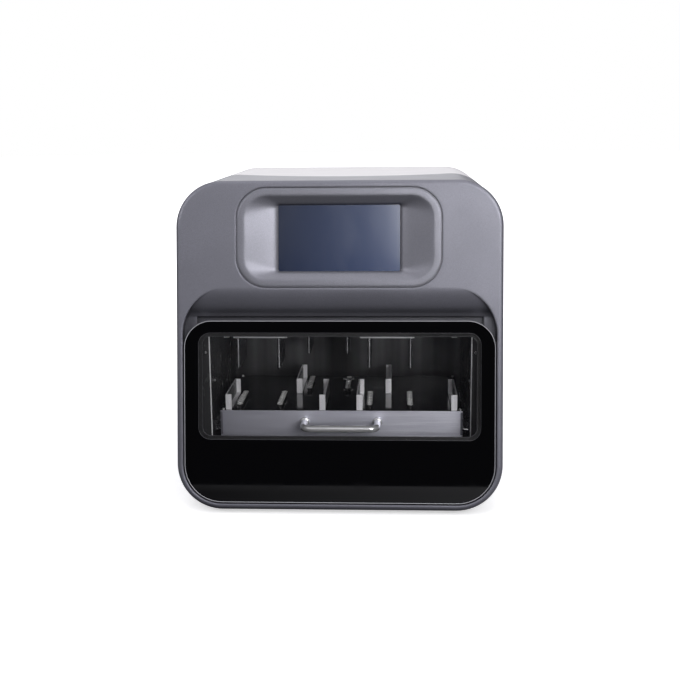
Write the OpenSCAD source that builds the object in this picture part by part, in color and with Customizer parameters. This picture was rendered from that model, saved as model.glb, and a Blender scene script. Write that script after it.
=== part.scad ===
// Bench-top nucleic acid extractor with a flip-up door, a pull-out plate tray and a three-axis rod head.
// Millimetres. X runs to the right, Y to the back and Z up. The origin is on the table, under the middle.

/* [Housing] */
// Width of the housing
body_w = 415; // [405:1:430]
// Height of the housing above the bottom of its rim
body_h = 413; // [408:1:425]
// Depth of the housing, from the foot of the face to the rear edge
body_d = 450; // [445:1:470]
// Radius of the housing's four long corners
corner_r = 58; // [52:1:60]
// Backward lean of the front face, in degrees
lean = 9.7; // [9.2:0.1:10]
// Wall of the hood and of the rear cover
wall = 3; // [2.5:0.1:3.5]
// Depth of the grey hood behind the face, measured square to the face
hood_d = 159; // [140:1:170]
// How far the rear cover's rounded tongue reaches forward over the hood
tongue_l = 58; // [40:1:65]
// Half width of the tongue where it leaves the seam
tongue_half_w = 148; // [120:1:150]
// Height of the rubber feet below the housing
foot_h = 5; // [4:0.5:8]
// Radius of a rubber foot
foot_r = 12; // [9:0.5:14]

/* [Front bezel] */
// Depth of the bezel's rim behind the face
bezel_d = 14; // [13:0.5:15]
// Radius of the roll round the edge of the face
roll_r = 5; // [3:0.5:6]
// Width of the rim beside the door
rim_w = 8; // [7:0.5:9]
// Thickness of the bezel's face
face_t = 4; // [3:0.5:5]
// Depth of the scoop above the door
scoop_d = 16; // [14:0.5:17]
// Radius of the scoop's outward roll
scoop_r1 = 44; // [40:1:48]
// Radius of the scoop's inward fillet
scoop_r2 = 12; // [10:1:14]
// Gap round the door
door_gap = 1.5; // [1:0.1:2]

/* [Screen] */
// Width of the screen surround
surround_w = 260; // [240:1:270]
// Height of the screen surround
surround_h = 126; // [118:1:128]
// Corner radius of the screen surround
surround_r = 38; // [30:1:45]
// Width of the flat border round the dish
border_w = 10; // [6:0.5:14]
// Depth of the dish
dish_d = 9; // [6:0.5:12]
// Width of the visible screen
screen_w = 155; // [145:1:165]
// Height of the visible screen
screen_h = 84; // [78:1:90]
// Height of the surround's middle above the bottom of the face
screen_z = 347.5; // [346:0.5:350]

/* [Door] */
// Height of the door panel
door_h = 232.5; // [230:0.5:233]
// Height of the door's lower edge above the bottom of the face
door_z = 10; // [9:0.5:10.5]
// How far the door panel lies behind the face
door_recess = 2; // [1.5:0.1:2.5]
// Thickness of the door panel
door_t = 4; // [3.5:0.1:4.5]
// Radius of the door's lower corners
door_r_low = 48; // [44:1:49]
// Radius of the door's upper corners
door_r_top = 35; // [30:1:40]
// Width of the door's black border beside the window
side_border = 18.5; // [17:0.5:28]
// Height of the door's black border above the window
top_border = 15.7; // [15:0.1:30]
// Height of the window's lower edge above the bottom of the face
window_z = 90.8; // [88:0.1:93]
// Corner radius of the window
window_r = 15; // [10:1:20]
// Depth of the door's hinge axis behind the face
hinge_y = 12; // [11.5:0.1:12.5]
// Height of the door's hinge axis above the bottom of the face
hinge_z = 233; // [232:0.5:234]
// Radius of a hinge pin
hinge_pin_r = 2.5; // [2:0.1:3]

/* [Chamber] */
// Space between a chamber wall and the outside of the housing
side_space = 38.5; // [36.5:0.5:39.5]
// Front edge of the chamber, behind the foot of the face
chamber_y0 = 61; // [60:0.5:62]
// Back wall of the chamber, behind the foot of the face
chamber_y1 = 285; // [280:1:290]
// Height of the chamber floor
floor_z = 66; // [60:0.5:68]
// Height of the chamber roof
roof_z = 227; // [226:0.5:227.5]
// Thickness of the chamber's sheets
sheet_t = 1.5; // [1:0.1:2]

/* [Plate tray] */
// Space for the slide between the tray and the chamber wall
slide_w = 9; // [8:0.5:11]
// Front of the tray's face, behind the foot of the housing's face
tray_y = 74; // [72:0.5:76]
// Depth of the tray
tray_d = 198; // [190:1:200]
// Height of the deck's upper surface
deck_z = 112; // [110:0.5:114]
// Height of the tray's face
tray_face_h = 36; // [32:0.5:38]
// Thickness of the deck plate
deck_t = 3; // [2:0.5:4]
// Thickness of the tray's sheet
tray_t = 2; // [1.5:0.1:2.5]
// Distance between the handle's two posts
handle_pitch = 96; // [64:1:128]
// Radius of the handle's round bar
handle_r = 4.5; // [3.5:0.1:5]
// How far the handle's bar stands off the tray's face
handle_reach = 33; // [28:0.5:34]
// Radius of the handle's bends
handle_bend = 10; // [8:0.5:14]

/* [Plate nests] */
// Outer length of a nest
nest_w = 132.5; // [131:0.5:133]
// Depth of a nest
nest_d = 89; // [88:0.5:89]
// Height of a nest's end brackets
nest_h = 21; // [15:0.5:24]
// Thickness of an end bracket's sheet
nest_t = 2; // [1.5:0.1:2.5]
// Width of an end bracket's flange
flange_w = 8; // [6:0.5:9]
// Edge of the tray outside the front nests
nest_margin = 7; // [6:0.5:9]
// Spacing of the wells of a standard plate
pitch = 9; // [8.5:0.5:9]
// Height of a heating cup above the deck
cup_h = 6; // [4:0.5:8]
// Radius of a heating cup's rim
cup_r = 3.9; // [3.4:0.1:4.2]

/* [Rod head] */
// Height of the rod tips above the bottom of the rim
rod_tip_z = 166; // [160:0.5:170]
// Radius of a magnet rod
rod_r = 2.4; // [2:0.1:2.8]
// Sideways travel of the head, five wells
head_travel = 45; // [36:1:45]
// Downward travel of the comb frame
comb_travel = 42; // [30:1:42]
// Upward travel of the magnet frame
magnet_travel = 45; // [30:1:45]
// Height of the comb frame
comb_z = 212; // [210:0.5:214]
// Height of the magnet frame
magnet_z = 236; // [234:0.5:240]
// Radius of a vertical guide rod
guide_r = 4; // [3:0.1:5]
// Radius of a lead screw
screw_r = 4; // [3:0.1:5]
// Radius of a cross shaft
shaft_r = 6; // [5:0.1:7]
// Side of a stepper motor
motor_w = 28; // [24:1:28]
// Length of a stepper motor
motor_l = 28; // [20:1:28]

/* [Rear panel] */
// Thickness of the rear panel
rear_t = 2; // [1.5:0.1:3]
// How far the rear panel lies inside the cover's rear edge
rear_recess = 8; // [6:0.5:12]
// Width of the square exhaust fan
fan_w = 80; // [70:1:92]
// Depth of the exhaust fan
fan_d = 25; // [20:1:30]
// Number of fan blades
blade_count = 7; // [5:1:9]
// Number of slots in each vent column
vent_rows = 9; // [4:1:10]

/* [Hidden] */
$fn = 48;

big = 700;
lip_l = 10;
touch = 0.3;             // running gap between bodies
fit = 0.05;              // radial clearance of a running fit
seam = 0.5;              // visible joint between two outer shells
groove = 0.8;            // shadow line behind the bezel's rim
sin_l = sin(lean);
cos_l = cos(lean);
// Sizes along the face are kept to a fifth of a millimetre, so that its rounded pieces meet
function fifth(v) = round(v * 5) / 5;
face_h = fifth(body_h / cos_l);

bezel_inner_w = body_w - 2 * rim_w;
door_w = bezel_inner_w - 2 * door_gap;
door_top = door_z + door_h;
window_w = door_w - 2 * side_border;
window_h = door_top - top_border - window_z;
chamber_w = body_w - 2 * side_space;
door_back = door_recess + door_t;
// The door's upper front edge swings round the hinge at this radius
door_swing_r = norm([hinge_y - door_recess, door_top - hinge_z]);
lip_z = hinge_z + door_swing_r + 0.8;
scoop_a = acos(1 - scoop_d / (scoop_r1 + scoop_r2));
scoop_drop = (scoop_r1 + scoop_r2) * sin(scoop_a);
scoop_top = lip_z - 1.8 + scoop_drop;
scoop_corner_r = door_r_top + 25;
rim_t = roll_r + 2;      // depth of the bezel's own outer rim
skirt_gap = 0.3;
hollow_w = rim_w + 4;
face_corner_r = fifth(corner_r * (1 + 1 / cos_l) / 2);
rim_rise = fifth(rim_t * sin_l / cos_l);
// Foremost point of the rolled edge
nose_y = roll_r * cos_l + (rim_rise + roll_r) * sin_l - roll_r;
ledge_y = bezel_d;
ledge_t = 2.5;
ledge_w = 15;
ledge_top = hinge_z - 18;
tab_t = 3;
cover_y = scoop_d + 6;   // depth of the hinge cover's front
cover_t = 2;
cover_low = hinge_z + 3;
cover_high = lip_z + 14;
frame_t = 3;
frame_margin = 10;
frame_high = hinge_z - 7;
seal_w = 4;
frame_x = chamber_w / 2 + sheet_t;
frame_side_t = 2;
frame_side_x = frame_x + frame_side_t;
arm_t = 4;
arm_x = frame_side_x + 1;
leaf_l = 22;
leaf_t = 2;
bracket_x = arm_x + arm_t + 0.5;
bracket_t = 3.5;
bracket_l = 50;
floor_x = bracket_x + bracket_t + 2;
knuckle_r = hinge_pin_r + 3;
surround_lip = 3;
rebate_y = face_t - 0.6;

base_t = 2;
base_w = body_w - 2 * corner_r;
window_cut_w = base_w - 30;
foot_x = window_cut_w / 2 - foot_r - 4;
foot_ys = [60, body_d - 50];
rear_y = body_d - rear_recess - rear_t;

side_y1 = 330;
side_top = body_h - 41;

tray_w = chamber_w - 2 * slide_w;
nest_gap = tray_w - 2 * (nest_w + nest_margin);
nest_y = tray_y + 3;
nest_ys = [nest_y, nest_y + nest_d];
nest_x = (nest_gap + nest_w) / 2;
// Wells in use: columns 1 and 7 of the twelve, rows A to H
col_x = [-5.5 * pitch, 0.5 * pitch];
row_y = [for (r = [0:7]) (r - 3.5) * pitch + nest_d / 2];
nests = [[-nest_x, nest_ys[0]], [nest_x, nest_ys[0]], [0, nest_ys[1]]];
wells = [for (n = nests, c = col_x, r = row_y) [n[0] + c, n[1] + r]];
tray_x = tray_w / 2;
tray_low = deck_z - tray_face_h;
handle_z = deck_z - 15;
runner_h = 10;
runner_z = tray_low + 10;
rail_t = 1.5;

head_x = -head_travel / 2;
comb_t = 3;
comb_w = nest_w + nest_gap + 66;
comb_y0 = nest_ys[0] + 5;
comb_y1 = nest_ys[1] + nest_d - 5;
magnet_t = 6;
rod_top = magnet_z + magnet_t;
slider_y = comb_y1 + 7;
slider_z = comb_z + 84;
slider_h = 20;
slider_w = 180;
comb_guide_x = 80;
carriage_y = slider_y + 9;
carriage_t = 6;
carriage_w = 190;
carriage_low = magnet_z + 4;
lug_t = 6;
carriage_top = slider_z + slider_h + 60;
shaft_y = carriage_y + carriage_t + 14;
shaft_zs = [carriage_low + 22, carriage_top - 30];
screw_y = shaft_y;
x_screw_z = (shaft_zs[0] + shaft_zs[1]) / 2;
block_w = 34;
block_h = 26;
magnet_guide_x = 100;
magnet_y = nest_ys[1] + 34;
bridge_z = magnet_z + magnet_t + magnet_travel + 39;
bridge_t = 4;
flange_r = 8;

lamp_r = 5;
lamp_y = chamber_y0 + 10;
lamp_z = roof_z - 9;
lamp_l = chamber_w - 50;

fan_x = -95;
fan_z = 285;
fan_hole_r = fan_w / 2 - 3;
hub_r = 16;
inlet_x = 120;
inlet_z = 62;
switch_x = 82;
port_x = -20;
vent_x = 95;
vent_z = 210;
screw_head_r = 3.5;

// Housing frame: Y from the foot of the face, Z from the bottom of the rim
module housed() {
    translate([0, -(body_d + nose_y) / 2, foot_h]) children();
}

// Face frame: Y is depth square to the face, Z is height along the face
module faced() {
    housed() rotate([-lean, 0, 0]) children();
}

// Draws a flat XZ outline as a plate from depth y0 to depth y1
module plate(y0, y1) {
    translate([0, y1, 0]) rotate([90, 0, 0]) linear_extrude(y1 - y0) children();
}

// Draws a flat YZ outline as a plate from x0 to x1
module side_plate(x0, x1) {
    translate([x0, 0, 0]) rotate([90, 0, 90]) linear_extrude(x1 - x0) children();
}

module block(x, y, z) {
    translate([x[0], y[0], z[0]]) cube([x[1] - x[0], y[1] - y[0], z[1] - z[0]]);
}

module both_sides() {
    children();
    mirror([1, 0, 0]) children();
}

// Rectangle standing on y = 0 with its own lower and upper corner radii
module soft_rect(w, h, r_low, r_top) {
    translate([-w / 2, r_low]) square([w, h - r_low - r_top]);
    translate([-w / 2 + r_low, 0]) square([w - 2 * r_low, r_low + 1]);
    translate([-w / 2 + r_top, h - r_top - 1]) square([w - 2 * r_top, r_top + 1]);
    for (s = [-1, 1]) {
        translate([s * (w / 2 - r_low), r_low]) circle(r_low);
        translate([s * (w / 2 - r_top), h - r_top]) circle(r_top);
    }
}

module round_rect(w, h, r) {
    soft_rect(w, h, r, r);
}

// Cross-section of the housing, drawn in by a margin
module body_outline(inset = 0) {
    translate([0, inset]) round_rect(body_w - 2 * inset, body_h - 2 * inset, corner_r - inset);
}

// Space between two planes parallel to the face
module face_slice(s0, s1) {
    rotate([-lean, 0, 0]) block([-big / 2, big / 2], [s0, s1], [-big / 2, big]);
}

module body_slice(inset, s0, s1) {
    intersection() {
        plate(-40, body_d) body_outline(inset);
        face_slice(s0, s1);
    }
}

module door_outline(grow = 0) {
    translate([0, door_z - grow])
        soft_rect(door_w + 2 * grow, door_h + 2 * grow, door_r_low + grow, door_r_top + grow);
}

module window_outline(grow = 0) {
    translate([0, window_z - grow]) round_rect(window_w + 2 * grow, window_h + 2 * grow, window_r + grow);
}

module surround_outline(grow = 0) {
    translate([0, screen_z - surround_h / 2 - grow])
        round_rect(surround_w + 2 * grow, surround_h + 2 * grow, surround_r + grow);
}

// Space of the scoop above the door: an outward roll that runs into an inward fillet
module scoop_space() {
    turn_y = scoop_r1 * (1 - cos(scoop_a));
    turn_z = scoop_top - scoop_r1 * sin(scoop_a);
    foot_z = scoop_top - scoop_drop;
    intersection() {
        side_plate(-big / 2, big / 2) {
            difference() {
                translate([-10, turn_z]) square([turn_y + 10, scoop_top - turn_z]);
                translate([scoop_r1, scoop_top]) circle(scoop_r1);
            }
            intersection() {
                translate([-10, foot_z]) square([scoop_d + 10, turn_z - foot_z]);
                union() {
                    translate([scoop_d - scoop_r2, foot_z]) circle(scoop_r2);
                    translate([-10, foot_z]) square([scoop_d - scoop_r2 + 10, turn_z - foot_z]);
                }
            }
            translate([-10, ledge_top]) square([scoop_d + 10, foot_z - ledge_top]);
        }
        plate(-10, bezel_d + 20) translate([0, door_z])
            soft_rect(bezel_inner_w, scoop_top - door_z, door_r_low, scoop_corner_r);
    }
}

// ---- Outer shells ----

// Half a section through the slab: depth runs up, and the roll is at the far end
module edge_profile(w, roll, t) {
    difference() {
        square([w, t]);
        translate([w - roll, 0]) square(roll);
    }
    intersection() {
        translate([w - roll, roll]) circle(roll);
        translate([w - roll, 0]) square(roll);
    }
}

// A slab in the face frame whose front edge is rolled over all the way round
module rolled_slab(w, h, r, roll, t) {
    flat_w = w - 2 * r;
    flat_h = h - 2 * r;
    for (x = [-1, 1], z = [-1, 1]) translate([x * flat_w / 2, 0, z * flat_h / 2]) rotate([-90, 0, 0])
        rotate_extrude() edge_profile(r, roll, t);
    for (a = [0, 180]) rotate([0, a, 0]) {
        rotate([0, -90, 0]) linear_extrude(flat_w, center = true) edge_profile(h / 2, roll, t);
        linear_extrude(flat_h, center = true) edge_profile(w / 2, roll, t);
    }
}

module front_bezel() {
    faced() color([0.39, 0.39, 0.42]) difference() {
        union() {
            difference() {
                translate([0, 0, rim_rise + face_h / 2])
                    rolled_slab(body_w, face_h, face_corner_r, roll_r, rim_t);
                rotate([lean, 0, 0]) body_slice(hollow_w, face_t, rim_t + 1);
            }
            // Skirt that fits inside the hood
            rotate([lean, 0, 0]) difference() {
                body_slice(wall + skirt_gap, rim_t - 0.5, bezel_d);
                body_slice(hollow_w, face_t, bezel_d + 1);
            }
            // Solid behind the scoop
            block([-body_w / 2 + rim_w - 1, body_w / 2 - rim_w + 1], [face_t - 1, cover_y],
                [lip_z, scoop_top + 6]);
            // Ledge that the door's seal closes against
            intersection() {
                rotate([lean, 0, 0]) body_slice(wall + skirt_gap, ledge_y - 1, ledge_y + ledge_t);
                block([-big / 2, big / 2], [0, 40], [0, ledge_top]);
            }
            // Floor beside the door's upper corners
            intersection() {
                rotate([lean, 0, 0]) body_slice(wall + skirt_gap, scoop_d, scoop_d + ledge_t);
                both_sides() block([floor_x, body_w], [0, 40], [ledge_top - 4, lip_z + 1]);
            }
            // Tabs that join the bezel to the hood's sides
            both_sides()
                block([body_w / 2 - wall - tab_t, body_w / 2 - wall], [bezel_d - 2, bezel_d + 16], [80, 200]);
        }
        plate(-1, ledge_y) door_outline(door_gap);
        plate(ledge_y - 1, scoop_d + ledge_t + 1) translate([0, door_z + ledge_w])
            soft_rect(bezel_inner_w - 2 * ledge_w, ledge_top - door_z - ledge_w - 3, 30, 5);
        block([-floor_x, floor_x], [ledge_y - 1, scoop_d + ledge_t + 1], [ledge_top - 20, lip_z]);
        scoop_space();
        plate(-1, bezel_d + 8) surround_outline(touch);
        plate(rebate_y, bezel_d + 8) surround_outline(surround_lip + touch);
    }
}

module hood() {
    housed() color([0.42, 0.42, 0.45]) difference() {
        body_slice(0, rim_t + groove, hood_d);
        translate([0, -1, 0]) body_slice(wall, 0, hood_d + 20);
        tongue_space(0);
        block([-window_cut_w / 2, window_cut_w / 2], [-10, body_d], [-1, wall + 1]);
    }
}

// The rounded tongue of the rear cover, seen from above
tongue_y = body_h * sin_l / cos_l + hood_d / cos_l;
tongue_r = (tongue_half_w * tongue_half_w + tongue_l * tongue_l) / (2 * tongue_l);

module tongue_space(inset) {
    intersection() {
        translate([0, tongue_y - tongue_l + tongue_r + inset, body_h - wall - 1])
            cylinder(r = tongue_r, h = wall + 2, $fn = 120);
        block([-tongue_half_w, tongue_half_w], [0, tongue_y + 1], [body_h - wall - 1, body_h + 1]);
    }
}

module rear_cover() {
    housed() color([0.90, 0.89, 0.89]) difference() {
        union() {
            difference() {
                union() {
                    body_slice(0, hood_d + seam, body_d * 2);
                    intersection() {
                        plate(0, body_d) body_outline(0);
                        tongue_space(seam);
                    }
                }
                plate(0, body_d + 1) body_outline(wall);
            }
            // Lip inside the seam that the hood slides over
            difference() {
                body_slice(wall, hood_d - lip_l, hood_d + lip_l);
                plate(-20, body_d + 1) body_outline(wall + 2);
                block([-body_w, body_w], [-20, body_d], [-1, wall + base_t + 1]);
            }
        }
        block([-window_cut_w / 2, window_cut_w / 2], [-10, body_d + 10], [-1, wall + 1]);
        block([-body_w, body_w], [body_d, body_d + 200], [-10, body_h + 10]);
    }
}

module base_plate() {
    housed() color([0.55, 0.56, 0.58])
        block([-base_w / 2, base_w / 2], [24, rear_y], [wall, wall + base_t]);
}

module rubber_feet() {
    housed() color([0.10, 0.10, 0.10]) for (s = [-1, 1], y = foot_ys)
        translate([s * foot_x, y, -foot_h]) {
            cylinder(r1 = foot_r - 1.5, r2 = foot_r, h = 2);
            translate([0, 0, 2]) cylinder(r = foot_r, h = foot_h + wall - 2);
        }
}

module rear_panel() {
    housed() color([0.90, 0.89, 0.89]) difference() {
        plate(rear_y, rear_y + rear_t) body_outline(wall);
        translate([fan_x, rear_y - 1, fan_z]) rotate([-90, 0, 0]) cylinder(r = fan_hole_r, h = rear_t + 2);
        block([inlet_x - 14, inlet_x + 14], [rear_y - 1, body_d], [inlet_z - 10.5, inlet_z + 10.5]);
        block([switch_x - 7, switch_x + 7], [rear_y - 1, body_d], [inlet_z - 10.5, inlet_z + 10.5]);
        block([port_x - 28, port_x + 28], [rear_y - 1, body_d], [inlet_z - 9, inlet_z + 9]);
        for (c = [0, 1], r = [0:vent_rows - 1])
            translate([vent_x + (c - 0.5) * 46, 0, vent_z + r * 11])
                plate(rear_y - 1, rear_y + rear_t + 1) translate([0, -2]) round_rect(36, 4, 1.9);
    }
}

module panel_screws() {
    housed() color([0.70, 0.70, 0.72])
        for (s = [-1, 1], z = [corner_r, body_h / 2, body_h - corner_r])
            translate([s * (body_w / 2 - wall - 9), rear_y + rear_t, z]) rotate([-90, 0, 0]) difference() {
                cylinder(r1 = screw_head_r, r2 = screw_head_r - 1, h = 2.2);
                translate([0, 0, 1.2]) cylinder(r = 1.6, h = 2, $fn = 6);
            }
}

// ---- Screen ----

module screen_surround() {
    faced() color([0.40, 0.40, 0.43]) difference() {
        union() {
            plate(0.2, dish_d + 1) surround_outline(0);
            plate(rebate_y, rebate_y + 2) surround_outline(surround_lip);
        }
        hull() {
            plate(0, 0.3) surround_outline(-border_w);
            plate(dish_d, dish_d + 0.1) translate([0, screen_z - screen_h / 2])
                round_rect(screen_w, screen_h, 2);
        }
        plate(dish_d - 1, dish_d + 2) translate([0, screen_z - screen_h / 2]) round_rect(screen_w, screen_h, 2);
    }
}

module touch_glass() {
    faced() color([0.22, 0.26, 0.36])
        plate(dish_d + 1, dish_d + 2.5) translate([0, screen_z - screen_h / 2 - 3])
            round_rect(screen_w + 6, screen_h + 6, 3);
}

module display_module() {
    faced() color([0.15, 0.35, 0.25]) {
        block([-screen_w / 2 - 4, screen_w / 2 + 4], [dish_d + 2.5, dish_d + 9],
            [screen_z - screen_h / 2 - 7, screen_z + screen_h / 2 + 4]);
        block([-30, 30], [dish_d + 9, dish_d + 13], [screen_z - 20, screen_z + 16]);
    }
}

// ---- Frame and chamber ----

module frame_profile() {
    polygon([
        [chamber_y0 + sheet_t + 1, wall + base_t + 6],
        [chamber_y0 + sheet_t + 1, roof_z + 4],
        [chamber_y0 + 43, roof_z + 73],
        [chamber_y0 + 43, side_top],
        [side_y1, side_top],
        [side_y1, wall + base_t + 6],
    ]);
}

module frame_side() {
    side_plate(frame_x, frame_x + frame_side_t) frame_profile();
    block([base_w / 2 - 30, frame_side_x], [80, side_y1 - 10],
        [wall + base_t + 6, wall + base_t + 8]);
    block([base_w / 2 - 30, base_w / 2 - 10], [80, side_y1 - 10], [wall + base_t, wall + base_t + 6]);
}

module frame_left() {
    housed() color([0.62, 0.63, 0.65]) mirror([1, 0, 0]) difference() {
        frame_side();
    }
}

module frame_right() {
    housed() color([0.62, 0.63, 0.65]) difference() {
        frame_side();
        translate([frame_x - 1, screw_y, x_screw_z]) rotate([0, 90, 0])
            cylinder(r = screw_r + 1, h = frame_side_t + 2);
    }
}

module liner_side() {
    block([chamber_w / 2, frame_x], [chamber_y0, chamber_y1], [floor_z, roof_z]);
    block([frame_x, frame_x + 17], [chamber_y0, chamber_y0 + sheet_t], [floor_z, roof_z - 13]);
}

module liner_left() {
    housed() color([0.16, 0.16, 0.18]) mirror([1, 0, 0]) liner_side();
}

module liner_right() {
    housed() color([0.16, 0.16, 0.18]) liner_side();
}

module liner_back() {
    housed() color([0.16, 0.16, 0.18])
        block([-frame_x, frame_x], [chamber_y1, chamber_y1 + sheet_t], [floor_z, roof_z]);
}

module liner_roof() {
    housed() color([0.20, 0.20, 0.22]) difference() {
        block([-frame_x, frame_x], [chamber_y0 + 4, chamber_y1 + sheet_t], [roof_z, roof_z + sheet_t]);
        block([head_x - comb_w / 2 - 4, head_x + head_travel + comb_w / 2 + 4], [comb_y0 - 3, slider_y + 8],
            [roof_z - 1, roof_z + sheet_t + 1]);
    }
}

module chamber_floor() {
    housed() color([0.30, 0.31, 0.33]) {
        block([-frame_x, frame_x], [chamber_y0 + 3, chamber_y1 + sheet_t], [floor_z - sheet_t, floor_z]);
        block([-frame_x + 4, frame_x - 4], [chamber_y0 + 3, chamber_y0 + 3 + sheet_t],
            [wall + base_t, floor_z]);
    }
}

// A fixed rail on each chamber wall, open towards the tray
module tray_rails() {
    housed() color([0.75, 0.76, 0.78]) both_sides() {
        block([chamber_w / 2 - rail_t, chamber_w / 2], [tray_y + 4, chamber_y1 - 4],
            [runner_z - rail_t, runner_z + runner_h + rail_t]);
        for (z = [runner_z - rail_t, runner_z + runner_h])
            block([chamber_w / 2 - slide_w + 2, chamber_w / 2 - rail_t], [tray_y + 4, chamber_y1 - 4],
                [z, z + rail_t]);
    }
}

module hinge_cover() {
    faced() color([0.30, 0.30, 0.33])
        block([-body_w / 2 + rim_w + 1, body_w / 2 - rim_w - 1], [cover_y, cover_y + cover_t],
            [cover_low, cover_high]);
}

module hinge_brackets() {
    faced() color([0.70, 0.70, 0.72]) both_sides() difference() {
        union() {
            side_plate(bracket_x, bracket_x + bracket_t) union() {
                translate([hinge_y, hinge_z]) circle(knuckle_r);
                translate([hinge_y, hinge_z - knuckle_r]) square([bracket_l, cover_low - 1 - hinge_z + knuckle_r]);
            }
            block([frame_side_x, bracket_x + 1], [hinge_y + bracket_l - 24, hinge_y + bracket_l],
                [hinge_z - knuckle_r, cover_low - 1]);
        }
        translate([bracket_x - 1, hinge_y, hinge_z]) rotate([0, 90, 0])
            cylinder(r = hinge_pin_r, h = bracket_t + 2);
    }
}

module hinge_pins() {
    faced() color([0.85, 0.85, 0.87]) both_sides()
        translate([arm_x - 1.5, hinge_y, hinge_z]) rotate([0, 90, 0]) {
            cylinder(r = hinge_pin_r, h = bracket_x + bracket_t - arm_x + 1.5);
            cylinder(r = hinge_pin_r + 1, h = 1);
        }
}

module uv_lamp() {
    housed() color([0.92, 0.94, 0.98]) translate([-lamp_l / 2, lamp_y, lamp_z]) rotate([0, 90, 0]) {
        cylinder(r = lamp_r, h = lamp_l);
        for (x = [0, lamp_l - 8]) translate([0, 0, x]) cylinder(r = lamp_r + 0.6, h = 8);
    }
}

module lamp_holders() {
    housed() color([0.85, 0.85, 0.85]) both_sides() {
        block([lamp_l / 2, lamp_l / 2 + 7], [lamp_y - 5, lamp_y + 5], [lamp_z - 6, roof_z]);
    }
}

module cross_shafts() {
    housed() color([0.85, 0.85, 0.87]) for (z = shaft_zs)
        translate([-frame_x, shaft_y, z]) rotate([0, 90, 0]) cylinder(r = shaft_r, h = 2 * frame_x);
}

// A stepper motor: two end caps with cut corners and a narrower stack between them
module stepper(l) {
    cap = l * 0.3;
    module section(w, cut) {
        h = w / 2;
        polygon([
            [h, h - cut], [h - cut, h], [cut - h, h], [-h, h - cut],
            [-h, cut - h], [cut - h, -h], [h - cut, -h], [h, cut - h],
        ]);
    }
    for (z = [0, l - cap]) translate([0, 0, z]) linear_extrude(cap) section(motor_w, 3);
    translate([0, 0, cap]) linear_extrude(l - 2 * cap) section(motor_w - 1.6, 5);
}

module x_motor() {
    housed() color([0.18, 0.18, 0.20])
        translate([frame_side_x, screw_y, x_screw_z]) rotate([0, 90, 0]) stepper(motor_l);
}

module x_screw() {
    housed() color([0.80, 0.80, 0.82])
        translate([-frame_x + touch, screw_y, x_screw_z]) rotate([0, 90, 0])
            cylinder(r = screw_r, h = 2 * frame_x + frame_side_t - 2 * touch);
}

// ---- Rear services ----

module exhaust_fan() {
    housed() color([0.12, 0.12, 0.13]) difference() {
        union() {
            difference() {
                translate([fan_x, 0, fan_z - fan_w / 2]) plate(rear_y - fan_d, rear_y) round_rect(fan_w, fan_w, 5);
                translate([fan_x, rear_y - fan_d - 1, fan_z]) rotate([-90, 0, 0])
                    cylinder(r = fan_hole_r, h = fan_d + 2);
            }
            // Motor cup on three struts
            translate([fan_x, rear_y - 4, fan_z]) rotate([-90, 0, 0]) {
                cylinder(r = hub_r, h = 4);
                for (a = [30:120:270]) rotate(a) translate([0, -2, 0.2]) cube([fan_hole_r + 2, 4, 3.5]);
            }
            translate([fan_x, rear_y - fan_d + 6, fan_z]) rotate([-90, 0, 0]) cylinder(r = 2, h = fan_d - 6);
        }
    }
}

module fan_rotor() {
    housed() color([0.16, 0.16, 0.17]) translate([fan_x, rear_y - fan_d + 3, fan_z]) rotate([-90, 0, 0])
        difference() {
            union() {
                cylinder(r = hub_r, h = fan_d - 8);
                for (i = [0:blade_count - 1]) rotate(i * 360 / blade_count) {
                    translate([hub_r - 1, 0, (fan_d - 8) / 2]) rotate([38, 0, 0])
                        translate([0, -7, -0.8]) cube([fan_hole_r - hub_r - 0.5, 14, 1.6]);
                }
            }
            translate([0, 0, -1]) cylinder(r = 2 + fit, h = fan_d);
        }
}

module fan_guard() {
    housed() color([0.75, 0.76, 0.78]) translate([fan_x, rear_y + rear_t, fan_z]) rotate([-90, 0, 0]) {
        for (r = [8:8:fan_hole_r]) difference() {
            cylinder(r = r + 0.8, h = 1.6);
            translate([0, 0, -1]) cylinder(r = r - 0.8, h = 4);
        }
        for (a = [45:90:315]) rotate(a) translate([7, -1, 0]) cube([fan_w * 0.62, 2, 1.6]);
    }
}

module power_inlet() {
    housed() color([0.08, 0.08, 0.08]) difference() {
        union() {
            block([inlet_x - 13.7, inlet_x + 13.7], [rear_y - 18, rear_y + rear_t],
                [inlet_z - 10.2, inlet_z + 10.2]);
            block([inlet_x - 17, inlet_x + 17], [rear_y + rear_t, rear_y + rear_t + 2.5],
                [inlet_z - 13, inlet_z + 13]);
        }
        block([inlet_x - 11.5, inlet_x + 11.5], [rear_y - 12, body_d], [inlet_z - 7.5, inlet_z + 7.5]);
    }
    housed() color([0.80, 0.80, 0.82]) for (x = [-7, 0, 7])
        block([inlet_x + x - 1, inlet_x + x + 1], [rear_y - 12, rear_y - 2], [inlet_z - 2.2, inlet_z + 2.2]);
}

module switch_body() {
    housed() color([0.08, 0.08, 0.08]) difference() {
        union() {
            block([switch_x - 6.7, switch_x + 6.7], [rear_y - 16, rear_y + rear_t],
                [inlet_z - 10.2, inlet_z + 10.2]);
            block([switch_x - 8.5, switch_x + 8.5], [rear_y + rear_t, rear_y + rear_t + 1.5],
                [inlet_z - 12, inlet_z + 12]);
        }
        block([switch_x - 5, switch_x + 5], [rear_y - 10, body_d], [inlet_z - 8.6, inlet_z + 8.6]);
    }
}

module power_rocker() {
    housed() color([0.12, 0.12, 0.12]) side_plate(switch_x - 4.7, switch_x + 4.7)
        translate([rear_y - 3, inlet_z]) rotate(-8) union() {
            circle(3);
            polygon([[0, -3], [5.5, -7.2], [6.6, -7.2], [5.2, 0], [6.6, 7.2], [5.5, 7.2], [0, 3]]);
        }
}

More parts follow.
